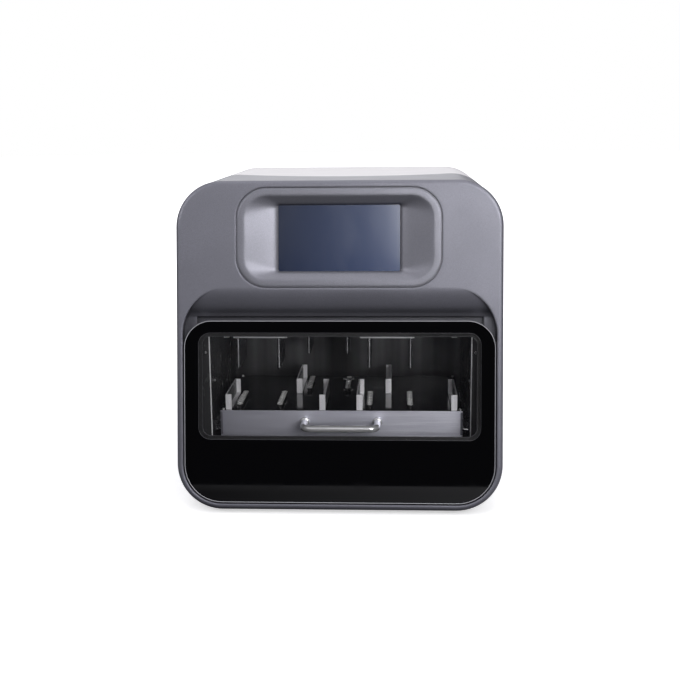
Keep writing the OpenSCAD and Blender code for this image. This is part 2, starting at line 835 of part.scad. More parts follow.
module data_ports() {
    housed() color([0.70, 0.70, 0.72]) difference() {
        union() {
            block([port_x - 27.7, port_x + 27.7], [rear_y - 14, rear_y + rear_t],
                [inlet_z - 8.7, inlet_z + 8.7]);
            block([port_x - 32, port_x + 32], [rear_y - 1.5, rear_y], [inlet_z - 12, inlet_z + 12]);
        }
        for (z = [-4, 4])
            block([port_x - 23, port_x - 10], [rear_y - 10, body_d], [inlet_z + z - 2.5, inlet_z + z + 2.5]);
        block([port_x + 6, port_x + 22], [rear_y - 10, body_d], [inlet_z - 6.5, inlet_z + 6.5]);
    }
}

module control_board() {
    board_z = wall + base_t + 8;
    board_x = 9.5 - base_w / 2;
    housed() {
        color([0.08, 0.36, 0.22]) difference() {
            block([board_x, 10], [side_y1 + 6, rear_y - 20], [board_z, board_z + 1.6]);
        }
        color([0.80, 0.78, 0.50]) for (x = [board_x + 6, 4], y = [side_y1 + 12, rear_y - 26])
            translate([x, y, wall + base_t]) cylinder(r = 3, h = board_z - wall - base_t);
        color([0.12, 0.12, 0.12]) for (x = [board_x + 30, board_x + 70, board_x + 110])
            block([x, x + 22], [side_y1 + 24, side_y1 + 46], [board_z + 1.6, board_z + 5]);
    }
}

module power_supply() {
    housed() color([0.72, 0.73, 0.75])
        block([20, base_w / 2 - 19.5], [side_y1 + 4, rear_y - 22], [wall + base_t, wall + base_t + 38]);
}

// ---- Door ----

module door_panel() {
    faced() color([0.02, 0.02, 0.02]) difference() {
        plate(door_recess, door_back) door_outline(0);
        plate(door_recess - 1, door_back + 1) window_outline(0);
    }
}

module door_window() {
    faced() color([0.85, 0.90, 0.95, 0.3])
        plate(door_recess + 0.4, door_back) window_outline(-0.2);
}

module door_frame() {
    inner_w = bezel_inner_w - 2 * frame_margin;
    low = door_z + frame_margin;
    faced() color([0.06, 0.06, 0.07]) difference() {
        union() {
            plate(door_back, door_back + frame_t) translate([0, low])
                soft_rect(inner_w, frame_high - low, door_r_low - frame_margin, 20);
            plate(door_back, door_back + frame_t + 2) difference() {
                translate([0, low]) soft_rect(inner_w, frame_high - low, door_r_low - frame_margin, 20);
                translate([0, low + seal_w])
                    soft_rect(inner_w - 2 * seal_w, frame_high - low - 2 * seal_w, 30, 16);
            }
            plate(door_back, door_back + frame_t + 2) window_outline(1);
        }
        plate(door_back - 1, door_back + frame_t + 3) window_outline(-4);
    }
}

module door_seal() {
    inner_w = bezel_inner_w - 2 * frame_margin;
    low = door_z + frame_margin;
    faced() color([0.05, 0.05, 0.05])
        plate(door_back + frame_t + 2, ledge_y - touch) difference() {
            translate([0, low]) soft_rect(inner_w, frame_high - low, door_r_low - frame_margin, 20);
            translate([0, low + seal_w])
                soft_rect(inner_w - 2 * seal_w, frame_high - low - 2 * seal_w, 30, 16);
        }
}

module door_arms() {
    faced() color([0.70, 0.70, 0.72]) both_sides() difference() {
        union() {
            side_plate(arm_x, arm_x + arm_t) union() {
                translate([hinge_y, hinge_z]) circle(knuckle_r);
                translate([door_back, hinge_z - 4]) square([hinge_y - door_back, knuckle_r + 4]);
            }
            block([arm_x + arm_t - leaf_l, arm_x + arm_t], [door_back, door_back + leaf_t],
                [hinge_z - 4, hinge_z + knuckle_r]);
        }
        translate([arm_x - 1, hinge_y, hinge_z]) rotate([0, 90, 0])
            cylinder(r = hinge_pin_r + fit, h = arm_t + 2);
    }
}

// ---- Plate tray ----

module tray_pan() {
    housed() color([0.62, 0.61, 0.65]) {
        block([-tray_x, tray_x], [tray_y, tray_y + tray_t], [tray_low, deck_z]);
        block([-tray_x, tray_x], [tray_y + tray_t, tray_y + tray_d], [tray_low + 3, tray_low + 3 + tray_t]);
        both_sides()
            block([tray_x - tray_t, tray_x], [tray_y + tray_t, tray_y + tray_d],
                [tray_low + 3, deck_z - deck_t]);
        block([-tray_x, tray_x], [tray_y + tray_d - tray_t, tray_y + tray_d],
            [tray_low + 3, deck_z - deck_t]);
    }
}

module deck_plate() {
    housed() color([0.05, 0.05, 0.06])
        block([-tray_x, tray_x], [tray_y + tray_t, tray_y + tray_d], [deck_z - deck_t, deck_z]);
}

// One end bracket: a web along the plate's short side with a flange at each end
module end_bracket() {
    block([-nest_w / 2, -nest_w / 2 + nest_t], [0, nest_d], [deck_z, deck_z + nest_h]);
    for (y = [0, nest_d - nest_t])
        block([-nest_w / 2, -nest_w / 2 + flange_w], [y, y + nest_t], [deck_z, deck_z + nest_h]);
    block([-nest_w / 2, -nest_w / 2 + flange_w], [0, nest_d], [deck_z, deck_z + 1.5]);
}

module nest(n) {
    housed() color([0.72, 0.71, 0.75]) translate([n[0], n[1], 0]) both_sides() end_bracket();
}

module nest_left() {
    nest(nests[0]);
}

module nest_right() {
    nest(nests[1]);
}

module nest_middle() {
    nest(nests[2]);
}

// A heating cup: a waisted stem that carries a rim with a conical seat for the well's tip
module heating_cup() {
    rotate_extrude($fn = 24) polygon([
        [0, 0], [cup_r * 0.6, 0], [cup_r * 0.6, cup_h * 0.25], [cup_r, cup_h * 0.6], [cup_r, cup_h],
        [cup_r * 0.75, cup_h], [cup_r * 0.25, cup_h * 0.5], [0, cup_h * 0.5],
    ]);
}

module heating_cups() {
    housed() color([0.80, 0.79, 0.78]) for (w = wells) translate([w[0], w[1], deck_z]) heating_cup();
}

module tray_handle() {
    reach = handle_reach - handle_bend;
    housed() color([0.85, 0.85, 0.87]) translate([0, tray_y, handle_z]) {
        both_sides() translate([handle_pitch / 2, 0, 0]) {
            rotate([90, 0, 0]) cylinder(r = handle_r, h = reach);
            translate([-handle_bend, -reach, 0]) rotate([0, 0, -90])
                rotate_extrude(angle = 90) translate([handle_bend, 0]) circle(handle_r);
        }
        translate([-handle_pitch / 2 + handle_bend, -handle_reach, 0]) rotate([0, 90, 0])
            cylinder(r = handle_r, h = handle_pitch - 2 * handle_bend);
    }
}

module tray_runners() {
    housed() color([0.75, 0.76, 0.78]) both_sides()
        block([tray_x, chamber_w / 2 - rail_t - touch], [tray_y + 6, tray_y + tray_d - 2],
            [runner_z + touch, runner_z + runner_h - touch]);
}

// ---- Rod head ----

module x_carriage() {
    housed() color([0.66, 0.67, 0.70]) translate([head_x, 0, 0]) difference() {
        union() {
            block([-carriage_w / 2, carriage_w / 2], [carriage_y, carriage_y + carriage_t],
                [carriage_low, carriage_top]);
            block([-carriage_w / 2, carriage_w / 2], [slider_y - 14, carriage_y],
                [carriage_top - lug_t, carriage_top]);
            for (s = [-1, 1]) {
                block([s * comb_guide_x - 12, s * comb_guide_x + 12], [slider_y - 7, carriage_y],
                    [carriage_low, carriage_low + lug_t]);
                for (z = shaft_zs)
                    block([s * 62 - block_w / 2, s * 62 + block_w / 2],
                        [carriage_y + carriage_t, shaft_y + shaft_r + 4], [z - block_h / 2, z + block_h / 2]);
            }
            block([-12, 12], [slider_y - 7, carriage_y], [carriage_low, carriage_low + lug_t]);
            block([-16, 16], [carriage_y + carriage_t, screw_y + screw_r + 5],
                [x_screw_z - 10, x_screw_z + 10]);
        }
        for (z = shaft_zs) translate([-carriage_w, shaft_y, z]) rotate([0, 90, 0])
            cylinder(r = shaft_r + fit, h = 2 * carriage_w);
        translate([-carriage_w, screw_y, x_screw_z]) rotate([0, 90, 0])
            cylinder(r = screw_r + fit, h = 2 * carriage_w);
        for (z = [carriage_low, carriage_top - lug_t]) translate([0, slider_y, z - 1]) {
            cylinder(r = screw_r + fit, h = lug_t + 2);
            for (s = [-1, 1]) translate([s * comb_guide_x, 0, 0]) cylinder(r = guide_r, h = lug_t + 2);
        }
    }
}

module comb_guides() {
    housed() color([0.85, 0.85, 0.87]) for (s = [-1, 1])
        translate([head_x + s * comb_guide_x, slider_y, carriage_low])
            cylinder(r = guide_r, h = carriage_top - carriage_low);
}

module comb_motor() {
    housed() color([0.18, 0.18, 0.20]) translate([head_x, slider_y - 14 + motor_w / 2, carriage_top])
        stepper(motor_l);
}

module comb_screw() {
    housed() color([0.80, 0.80, 0.82]) translate([head_x, slider_y, carriage_low])
        cylinder(r = screw_r, h = carriage_top - carriage_low - touch);
}

module comb_frame() {
    housed() color([0.70, 0.71, 0.74]) difference() {
        union() {
            block([head_x - comb_w / 2, head_x + comb_w / 2], [comb_y0, comb_y1], [comb_z, comb_z + comb_t]);
            for (s = [-1, 1]) translate([head_x, 0, 0])
                block([s * 40 - 20, s * 40 + 20], [comb_y1 - 3, comb_y1], [comb_z, slider_z + slider_h]);
            translate([head_x, 0, 0])
                block([-slider_w / 2, slider_w / 2], [comb_y1, slider_y + 7], [slider_z, slider_z + slider_h]);
        }
        for (w = wells) translate([w[0], w[1], comb_z - 1]) cylinder(r = rod_r + 1.6, h = comb_t + 2, $fn = 24);
        translate([head_x, slider_y, slider_z - 1]) {
            cylinder(r = screw_r + fit, h = slider_h + 2);
            for (s = [-1, 1]) translate([s * comb_guide_x, 0, 0]) cylinder(r = guide_r + fit, h = slider_h + 2);
        }
    }
}

module magnet_guides() {
    housed() color([0.85, 0.85, 0.87]) for (s = [-1, 1])
        translate([head_x + s * magnet_guide_x, magnet_y, comb_z + comb_t])
            cylinder(r = guide_r, h = bridge_z - comb_z - comb_t);
}

module magnet_bridge() {
    housed() color([0.70, 0.71, 0.74]) translate([head_x, magnet_y, bridge_z]) difference() {
        translate([-magnet_guide_x - 10, -12, 0]) cube([2 * magnet_guide_x + 20, 24, bridge_t]);
        translate([0, 0, -1]) cylinder(r = screw_r + fit, h = bridge_t + 2);
    }
}

module magnet_motor() {
    housed() color([0.18, 0.18, 0.20]) translate([head_x, magnet_y, bridge_z + bridge_t]) stepper(motor_l);
}

module magnet_screw() {
    housed() color([0.80, 0.80, 0.82]) translate([head_x, magnet_y, comb_z + comb_t + touch])
        cylinder(r = screw_r, h = bridge_z + bridge_t - comb_z - comb_t - 2 * touch);
}

module magnet_frame() {
    housed() color([0.66, 0.67, 0.70]) difference() {
        union() {
            block([head_x - comb_w / 2 + 2, head_x + comb_w / 2 - 2], [comb_y0 + 2, comb_y1 - 6],
                [magnet_z, rod_top]);
            for (s = [-1, 0, 1]) translate([head_x + s * magnet_guide_x, magnet_y, rod_top])
                cylinder(r = flange_r, h = 10);
        }
        translate([head_x, magnet_y, magnet_z - 1]) {
            cylinder(r = screw_r + fit, h = magnet_t + 12);
            for (s = [-1, 1]) translate([s * magnet_guide_x, 0, 0])
                cylinder(r = guide_r + fit, h = magnet_t + 12);
        }
    }
}

module magnet_rods() {
    housed() color([0.85, 0.85, 0.87]) for (w = wells) translate([w[0], w[1], rod_tip_z])
        rotate_extrude($fn = 24) polygon([
            [0, 0], [rod_r * 0.6, 0], [rod_r, 1.2], [rod_r, magnet_z - rod_tip_z], [0, magnet_z - rod_tip_z],
        ]);
}

base_plate();
rubber_feet();
front_bezel();
hood();
rear_cover();
rear_panel();
panel_screws();
screen_surround();
touch_glass();
display_module();
frame_left();
frame_right();
liner_left();
liner_right();
liner_back();
liner_roof();
chamber_floor();
tray_rails();
hinge_cover();
hinge_brackets();
hinge_pins();
uv_lamp();
lamp_holders();
cross_shafts();
x_motor();
x_screw();
exhaust_fan();
fan_rotor();
fan_guard();
power_inlet();
switch_body();
power_rocker();
data_ports();
control_board();
power_supply();
door_panel();
door_window();
door_frame();
door_arms();
door_seal();
tray_pan();
deck_plate();
nest_left();
nest_right();
nest_middle();
heating_cups();
tray_handle();
tray_runners();
x_carriage();
comb_guides();
comb_motor();
comb_screw();
comb_frame();
magnet_guides();
magnet_bridge();
magnet_motor();
magnet_screw();
magnet_frame();
magnet_rods();
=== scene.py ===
"""Finishes, fittings and studio for a benchtop nucleic acid extractor.

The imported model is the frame: its solids keep their places, and this file
gives them their finishes and adds the small fittings that ride on them.
"""

import math  # noqa: E402

import bmesh  # noqa: E402
import bpy  # noqa: E402
from bpy.props import FloatProperty, FloatVectorProperty, PointerProperty  # noqa: E402
from mathutils import Matrix, Vector  # noqa: E402


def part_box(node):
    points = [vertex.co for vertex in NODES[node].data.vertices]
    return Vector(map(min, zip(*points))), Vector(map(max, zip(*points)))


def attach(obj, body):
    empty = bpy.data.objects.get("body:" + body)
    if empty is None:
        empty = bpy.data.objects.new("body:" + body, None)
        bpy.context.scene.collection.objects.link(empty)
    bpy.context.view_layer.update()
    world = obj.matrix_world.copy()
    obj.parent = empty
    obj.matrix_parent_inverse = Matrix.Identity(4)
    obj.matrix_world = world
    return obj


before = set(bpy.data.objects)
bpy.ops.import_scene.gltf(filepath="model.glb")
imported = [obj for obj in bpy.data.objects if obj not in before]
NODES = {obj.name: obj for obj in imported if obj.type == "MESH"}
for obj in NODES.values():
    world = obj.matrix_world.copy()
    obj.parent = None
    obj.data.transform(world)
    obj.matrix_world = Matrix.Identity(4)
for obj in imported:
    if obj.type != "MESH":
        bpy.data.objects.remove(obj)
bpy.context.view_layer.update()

bl_info = {
    "name": "Benchtop Extractor",
    "version": (1, 0, 0),
    "blender": (4, 5, 0),
    "location": "View3D > Sidebar > Extractor",
    "description": "Finishes, fittings and studio for a benchtop nucleic acid extractor",
    "category": "Object",
}

MM = 0.001

# The front face leans back by this angle about the front lower edge.
FACE_LEAN = math.radians(9.7)
FACE_FOOT = Vector((0.0, -0.225487, 0.005))
FACE_UP = Vector((0.0, math.sin(FACE_LEAN), math.cos(FACE_LEAN)))
FACE_IN = Vector((0.0, math.cos(FACE_LEAN), -math.sin(FACE_LEAN)))

# The door panel on that face, in millimetres: half its width, its foot and its head.
DOOR_HALF, DOOR_LOW, DOOR_HIGH = 198.0, 10.0, 242.5
LINE_INSET = 0.5

# Fine lines on the door. Each has its half width, foot, head, lower and upper
# corner radius and depth on the face, its share of the lines' own radius, its
# finish and its slot.
DOOR_LINES = {
    # The line round the door is lighter than the black panel: a painted highlight along its edge.
    "door_edge_line": (
        (DOOR_HALF - LINE_INSET, DOOR_LOW + LINE_INSET, DOOR_HIGH - LINE_INSET, 47.5, 34.5, 2.05),
        1.0,
        "edge_line",
        "gloss_black",
    ),
    "window_bead": ((179.5, 90.8, 226.8, 15.0, 15.0, 2.05), 0.7, "window_line", "clear_window"),
    "window_step": ((174.5, 95.2, 222.4, 10.0, 10.0, 2.35), 0.5, "window_line", "clear_window"),
}

# Small fittings, in metres. A pair is a low and a high limit.
WALL_EDGE_X, WALL_EDGE_Z, WALL_EDGE_PROUD = (0.1688, 0.1702), (0.0715, 0.2315), 0.0003
WALL_SCREW_HEIGHT = 0.0012
FRONT_WALL_SCREW, SIDE_WALL_SCREW = (0.1748, 0.1983), (0.169, -0.1368, 0.1547)
DECK_SCREW_INSET, DECK_SCREW_HEIGHT = (0.0032, 0.0038), 0.0018
HANDLE_FOOT_X = 0.048
COLLAR = (
    (0.0046, 0.0),
    (0.0066, 0.0),
    (0.0066, 0.001),
    (0.0058, 0.0022),
    (0.005, 0.0027),
    (0.0046, 0.0027),
)
TRAY_RETURN, TRAY_RETURN_Z, TRAY_RETURN_PROUD = 0.0028, (0.0845, 0.1155), 0.0002
CLIP_UNDERSIDE = 0.0074
COMB_LIPS_X, COMB_LIP_DROP = ((-0.141, -0.07), (0.0255, 0.0965)), 0.0037
FAN_SCREW_INSET, FAN_SCREW_RADIUS, FAN_SCREW_HEIGHT = 0.0045, 0.0034, 0.0017
CONTACT_COUNT, CONTACT_PITCH, CONTACT_HALF = 8, 0.00125, 0.0003

CREASE_ANGLE = math.radians(35)
SHARP_ANGLE = math.radians(42)
WELD_REACH = 0.000004


def on_face(x, depth, height):
    """A point in metres from millimetres across, into and up the leaning face."""
    return FACE_FOOT + Vector((x * MM, 0, 0)) + FACE_IN * depth * MM + FACE_UP * height * MM


def middle(node):
    """The centre of a node's box."""
    low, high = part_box(node)
    return (low + high) / 2


# ---------------------------------------------------------------- mesh tools

SCREW_STEPS = 48
BUTTON_HEAD = ((1.0, 0.0), (1.0, 0.25), (0.93, 0.6), (0.76, 0.88), (0.62, 1.0))
PAN_HEAD = ((1.0, 0.0), (1.0, 0.35), (0.9, 0.75), (0.72, 0.97), (0.62, 1.0))


def looking(place, normal):
    """A placement whose Z axis is normal, at place."""
    turn = Vector(normal).normalized().to_track_quat("Z", "Y").to_matrix().to_4x4()
    return Matrix.Translation(Vector(place)) @ turn


def skin(bm, rings, closed=False):
    """Joins rings of points, each with the same count, into one surface.

    A run of rings that isn't closed on itself is capped at both ends.
    """
    made = [[bm.verts.new(p) for p in ring] for ring in rings]
    pairs = list(zip(made, made[1:]))
    if closed:
        pairs.append((made[-1], made[0]))
    for a, b in pairs:
        for i in range(len(a)):
            j = (i + 1) % len(a)
            bm.faces.new((a[i], a[j], b[j], b[i]))
    if not closed:
        bm.faces.new(list(reversed(made[0])))
        bm.faces.new(made[-1])


def ring_of(reach, z, count=SCREW_STEPS):
    """A ring of points about Z, at the distance that reach gives for an angle."""
    points = []
    for i in range(count):
        angle = math.tau * i / count
        points.append(Vector((reach(angle) * math.cos(angle), reach(angle) * math.sin(angle), z)))
    return points


def circle(radius, z, count=SCREW_STEPS):
    """A round ring of points about Z."""
    return ring_of(lambda angle: radius, z, count)


def socket_ring(across, z, sides=6):
    """A ring of points on a regular polygon's outline, across its flats."""
    half = math.pi / sides
    return ring_of(lambda angle: across / 2 / math.cos((angle % (2 * half)) - half), z)


def cross_ring(reach, waist, z):
    """A ring of points on a four-armed recess."""
    return ring_of(lambda angle: waist + (reach - waist) * abs(math.cos(2 * angle)) ** 5, z)


def turned(bm, profile, place, count=32):
    """A lathe form: (radius, height) pairs in metres about a placement's Z axis."""
    skin(bm, [[place @ p for p in circle(r, z, count)] for r, z in profile])


def screw_head(bm, place, radius, height, profile, recess):
    """A head turned to a profile in shares of its size, with rings for its recess."""
    rings = [circle(radius * r, height * h) for r, h in profile] + recess
    skin(bm, [[place @ p for p in ring] for ring in rings])


def socket_screw(bm, place, radius, height):
    """A button head with a hexagon socket, seated at the placement's origin."""
    recess = [socket_ring(radius * 0.9, height), socket_ring(radius * 0.84, height * 0.35)]
    screw_head(bm, place, radius, height, BUTTON_HEAD, recess)


def cross_screw(bm, place, radius, height):
    """A pan head with a cross recess, seated at the placement's origin."""
    recess = [
        cross_ring(radius * 0.58, radius * 0.18, height),
        cross_ring(radius * 0.4, radius * 0.1, height * 0.4),
    ]
    screw_head(bm, place, radius, height, PAN_HEAD, recess)


def slab(bm, low, high, chamfer=0.0):
    """A block between two corners, with its edges cut where a chamfer is given."""
    (x0, y0, z0), (x1, y1, z1) = low, high
    c = chamfer

    def outline(z, inset=0.0):
        """The block's outline at a height, drawn in by inset."""
        left, right, near, far = x0 + inset, x1 - inset, y0 + inset, y1 - inset
        corners = [(left, near), (right, near), (right, far), (left, far)]
        if c:
            corners = [
                (left + c, near),
                (right - c, near),
                (right, near + c),
                (right, far - c),
                (right - c, far),
                (left + c, far),
                (left, far - c),
                (left, near + c),
            ]
        return [Vector((x, y, z)) for x, y in corners]

    if c:
        skin(bm, [outline(z0, c), outline(z0 + c), outline(z1 - c), outline(z1, c)])
    else:
        skin(bm, [outline(z0), outline(z1)])


def swept(bm, path, section, up):
    """Carries a section, pairs of (outward, along up), round a closed path of points."""
    rings = []
    for i, point in enumerate(path):
        ahead = (path[(i + 1) % len(path)] - path[i - 1]).normalized()
        out = ahead.cross(up).normalized()
        rings.append([point + out * a + up * b for a, b in section])
    skin(bm, rings, closed=True)


def face_loop(half_width, low, high, low_radius, high_radius, depth, steps=14):
    """Points in metres round an upright panel's rounded outline on the leaning face."""
    corners = (
        (1, high - high_radius, high_radius),
        (-1, high - high_radius, high_radius),
        (-1, low + low_radius, low_radius),
        (1, low + low_radius, low_radius),
    )
    points = []
    for quarter, (side, centre_height, radius) in enumerate(corners):
        centre_x = side * (half_width - radius)
        for i in range(steps + 1):
            angle = math.pi / 2 * (quarter + i / steps)
            x = centre_x + radius * math.cos(angle)
            points.append(on_face(x, depth, centre_height + radius * math.sin(angle)))
    return points


def bead(radius, sides=8):
    """A half-round section, radius in metres, for a line laid on a panel."""
    angles = [math.pi * k / (sides - 1) for k in range(sides)]
    return [(radius * math.cos(a), radius * math.sin(a)) for a in angles]


def placed(name, bm, material):
    """An object in the scene, made from bm, with one material."""
    mesh = bpy.data.meshes.new(name)
    bm.to_mesh(mesh)
    bm.free()
    made = bpy.data.objects.new(name, mesh)
    made.data.materials.append(material)
    bpy.context.scene.collection.objects.link(made)
    return made


def piece(name, bm, body, finish):
    """Makes a piece from bm, with its finish, that rides on a body."""
    bmesh.ops.recalc_face_normals(bm, faces=bm.faces)
    made = placed(name, bm, FINISHES[finish])
    made.data.shade_smooth()
    made.data.set_sharp_from_angle(angle=CREASE_ANGLE)
    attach(made, body)
    return made


# ------------------------------------------------------------ shader effects


def rgba(colour):
    """The colour's three values with a full alpha."""
    return (*tuple(colour)[:3], 1)


def shade(colour, factor):
    """The colour made lighter or darker by a factor."""
    return tuple(min(1.0, c * factor) for c in tuple(colour)[:3])


class Tree:
    """Short words for adding and joining nodes in one node tree."""

    def __init__(self, tree):
        self.tree = tree

    def node(self, kind, **settings):
        made = self.tree.nodes.new("ShaderNode" + kind)
        for key, value in settings.items():
            setattr(made, key, value)
        return made

    def into(self, value, socket):
        """Joins an output to a socket, or sets the socket to a plain value."""
        if isinstance(value, bpy.types.NodeSocket):
            self.tree.links.new(value, socket)
        else:
            socket.default_value = value

    def here(self):
        """The shaded point in the object's own axes."""
        return self.node("TexCoord").outputs["Object"]

    def along(self, vector, axis):
        """One axis of a vector."""
        made = self.node("SeparateXYZ")
        self.into(vector, made.inputs[0])
        return made.outputs[axis]

    def facing(self, axis):
        """How far the surface faces along an axis, from -1 to 1."""
        return self.along(self.node("NewGeometry").outputs["Normal"], axis)

    def drawn(self, vector, factors):
        """The vector with each axis multiplied by its own factor."""
        made = self.node("VectorMath", operation="MULTIPLY")
        self.into(vector, made.inputs[0])
        self.into(factors, made.inputs[1])
        return made.outputs[0]

    def number(self, operation, *values):
        """A Math node over numbers or sockets; its output socket."""
        made = self.node("Math", operation=operation)
        for socket, value in zip(made.inputs, values):
            self.into(value, socket)
        return made.outputs[0]

    def mean(self, first, second):
        """Half-way between two values."""
        return self.number("MULTIPLY", self.number("ADD", first, second), 0.5)

    def spread(self, value, low, high, to_low=0.0, to_high=1.0):
        """Maps low..high on to to_low..to_high, held at the ends."""
        made = self.node("MapRange")
        ends = {"From Min": low, "From Max": high, "To Min": to_low, "To Max": to_high}
        for label, given in {"Value": value, **ends}.items():
            self.into(given, made.inputs[label])
        return made.outputs["Result"]

    def tint(self, mask, first, second):
        """Colour first where mask is 0 and second where it is 1."""
        made = self.node("Mix", data_type="RGBA")
        self.into(mask, made.inputs[0])
        for index, colour in ((6, first), (7, second)):
            plain = not isinstance(colour, bpy.types.NodeSocket)
            self.into(rgba(colour) if plain else colour, made.inputs[index])
        return made.outputs[2]

    def toned(self, mask, colour, dark, light):
        """The colour times dark where mask is 0, and times light where it is 1."""
        return self.tint(mask, shade(colour, dark), shade(colour, light))

    def noise(self, vector, scale, detail=2.0, rough=0.5):
        """A noise texture's value, about 0.5 on the whole."""
        made = self.node("TexNoise")
        given = {"Vector": vector, "Scale": scale, "Detail": detail, "Roughness": rough}
        for label, value in given.items():
            self.into(value, made.inputs[label])
        return made.outputs["Fac"]


def group_of(name, inputs, outputs):
    """A new shader node group: its tree, what it is given and what it puts out.

    Inputs go by {name: default}, and each output is a number.
    """
    group = bpy.data.node_groups.new(name, "ShaderNodeTree")
    for label, default in inputs.items():
        kind = "NodeSocketVector" if isinstance(default, tuple) else "NodeSocketFloat"
        socket = group.interface.new_socket(name=label, in_out="INPUT", socket_type=kind)
        socket.default_value = default
    for label in outputs:
        group.interface.new_socket(name=label, in_out="OUTPUT", socket_type="NodeSocketFloat")
    given, out = group.nodes.new("NodeGroupInput"), group.nodes.new("NodeGroupOutput")
    return Tree(group), given.outputs, out.inputs


def grain_group():
    """A fine even tooth, as on moulded or powder-coated skins."""
    t, given, out = group_of("Skin Grain", {"Scale": 1500.0}, ("Height", "Shade"))
    fine = t.noise(t.here(), given["Scale"], 3.0, 0.55)
    broad = t.noise(t.here(), t.number("MULTIPLY", given["Scale"], 0.02))
    t.into(fine, out["Height"])
    t.into(t.mean(fine, broad), out["Shade"])
    return t.tree


def flake_group():
    """Metal flake in lacquer: small cells of differing brightness and tilt."""
    t, given, out = group_of("Lacquer Flake", {"Scale": 2600.0}, ("Flake", "Cloud"))
    cells = t.node("TexVoronoi")
    t.into(t.here(), cells.inputs["Vector"])
    t.into(given["Scale"], cells.inputs["Scale"])
    split = t.node("SeparateColor")
    t.into(cells.outputs["Color"], split.inputs[0])
    t.into(split.outputs[0], out["Flake"])
    t.into(t.noise(t.here(), 9.0, 3.0), out["Cloud"])
    return t.tree


def brush_group():
    """Fine lines left by brushing or rolling, drawn out along one axis."""
    inputs = {"Stretch": (0.02, 1.0, 1.0), "Scale": 2400.0}
    t, given, out = group_of("Brushed Lines", inputs, ("Height", "Streak"))
    drawn = t.drawn(t.here(), given["Stretch"])
    fine = t.noise(drawn, given["Scale"])
    broad = t.noise(drawn, t.number("MULTIPLY", given["Scale"], 0.12), 1.0)
    t.into(fine, out["Height"])
    t.into(t.mean(fine, broad), out["Streak"])
    return t.tree


def wear_group():
    """Where edges have lost their first finish: worn is 1 on a sharp edge."""
    t, given, out = group_of("Edge Wear", {"Radius": 0.0006, "Breakup": 220.0}, ("Worn",))
    rounded = t.node("Bevel", samples=4)
    t.into(given["Radius"], rounded.inputs["Radius"])
    alike = t.node("VectorMath", operation="DOT_PRODUCT")
    t.into(rounded.outputs[0], alike.inputs[0])
    t.into(t.node("NewGeometry").outputs["Normal"], alike.inputs[1])
    edge = t.spread(alike.outputs["Value"], 0.995, 0.86)
    patchy = t.spread(t.noise(t.here(), given["Breakup"], 3.0), 0.42, 0.62)
    t.into(t.number("MULTIPLY", edge, patchy), out["Worn"])
    return t.tree


def dust_group():
    """A thin uneven film that settles on faces turned upward."""
    t, given, out = group_of("Settled Dust", {"Amount": 0.3}, ("Dust",))
    flat = t.spread(t.facing("Z"), 0.5, 1.0)
    cloud = t.spread(t.noise(t.here(), 26.0, 5.0, 0.6), 0.35, 0.75)
    film = t.number("MULTIPLY", flat, cloud)
    t.into(t.number("MULTIPLY", film, given["Amount"]), out["Dust"])
    return t.tree


def smudge_group():
    """Soft wiping and finger marks that change only how sharp a gloss is."""
    t, given, out = group_of("Wiping Marks", {"Low": 0.1, "High": 0.2}, ("Roughness",))
    wiped = t.drawn(t.here(), (1.0, 1.0, 0.35))
    cloud = t.spread(t.noise(wiped, 34.0, 4.0, 0.6), 0.38, 0.68)
    t.into(t.spread(cloud, 0.0, 1.0, given["Low"], given["High"]), out["Roughness"])
    return t.tree


EFFECTS = {}


def build_effects():
    """Builds each shared effect once."""
    EFFECTS.update(
        grain=grain_group(),
        flake=flake_group(),
        brush=brush_group(),
        wear=wear_group(),
        dust=dust_group(),
        smudge=smudge_group(),
    )


# ------------------------------------------------------------------ finishes


class Finish(Tree):
    """One material: a Principled shader with effects placed around it."""

    def __init__(self, name, colour, metallic=0.0, rough=0.5, **sockets):
        self.material = bpy.data.materials.new(name)
        self.material.use_nodes = True
        self.material.diffuse_color = rgba(colour)
        super().__init__(self.material.node_tree)
        self.tree.nodes.clear()
        self.shader = self.node("BsdfPrincipled")
        self.surface = self.node("OutputMaterial").inputs["Surface"]
        self.into(self.shader.outputs[0], self.surface)
        own = {"Base Color": rgba(colour), "Metallic": metallic, "Roughness": rough}
        for label, value in {**own, **sockets}.items():
            self.shader.inputs[label.replace("_", " ")].default_value = value

    def effect(self, key, **values):
        """Places a shared effect with this finish's own values."""
        made = self.tree.nodes.new("ShaderNodeGroup")
        made.node_tree = EFFECTS[key]
        for label, value in values.items():
            made.inputs[label].default_value = value
        return made.outputs

    def to(self, source, label):
        """Feeds one of the shader's own sockets."""
        self.into(source, self.shader.inputs[label])

    def bumped(self, height, distance, strength, soft=0.0):
        """Feeds a height, over creases rounded by soft, to the shader's normal."""
        made = self.node("Bump")
        made.inputs["Distance"].default_value = distance
        made.inputs["Strength"].default_value = strength
        self.into(height, made.inputs["Height"])
        if soft:
            rounded = self.node("Bevel", samples=6)
            rounded.inputs["Radius"].default_value = soft
            self.into(rounded.outputs[0], made.inputs["Normal"])
        self.to(made.outputs[0], "Normal")


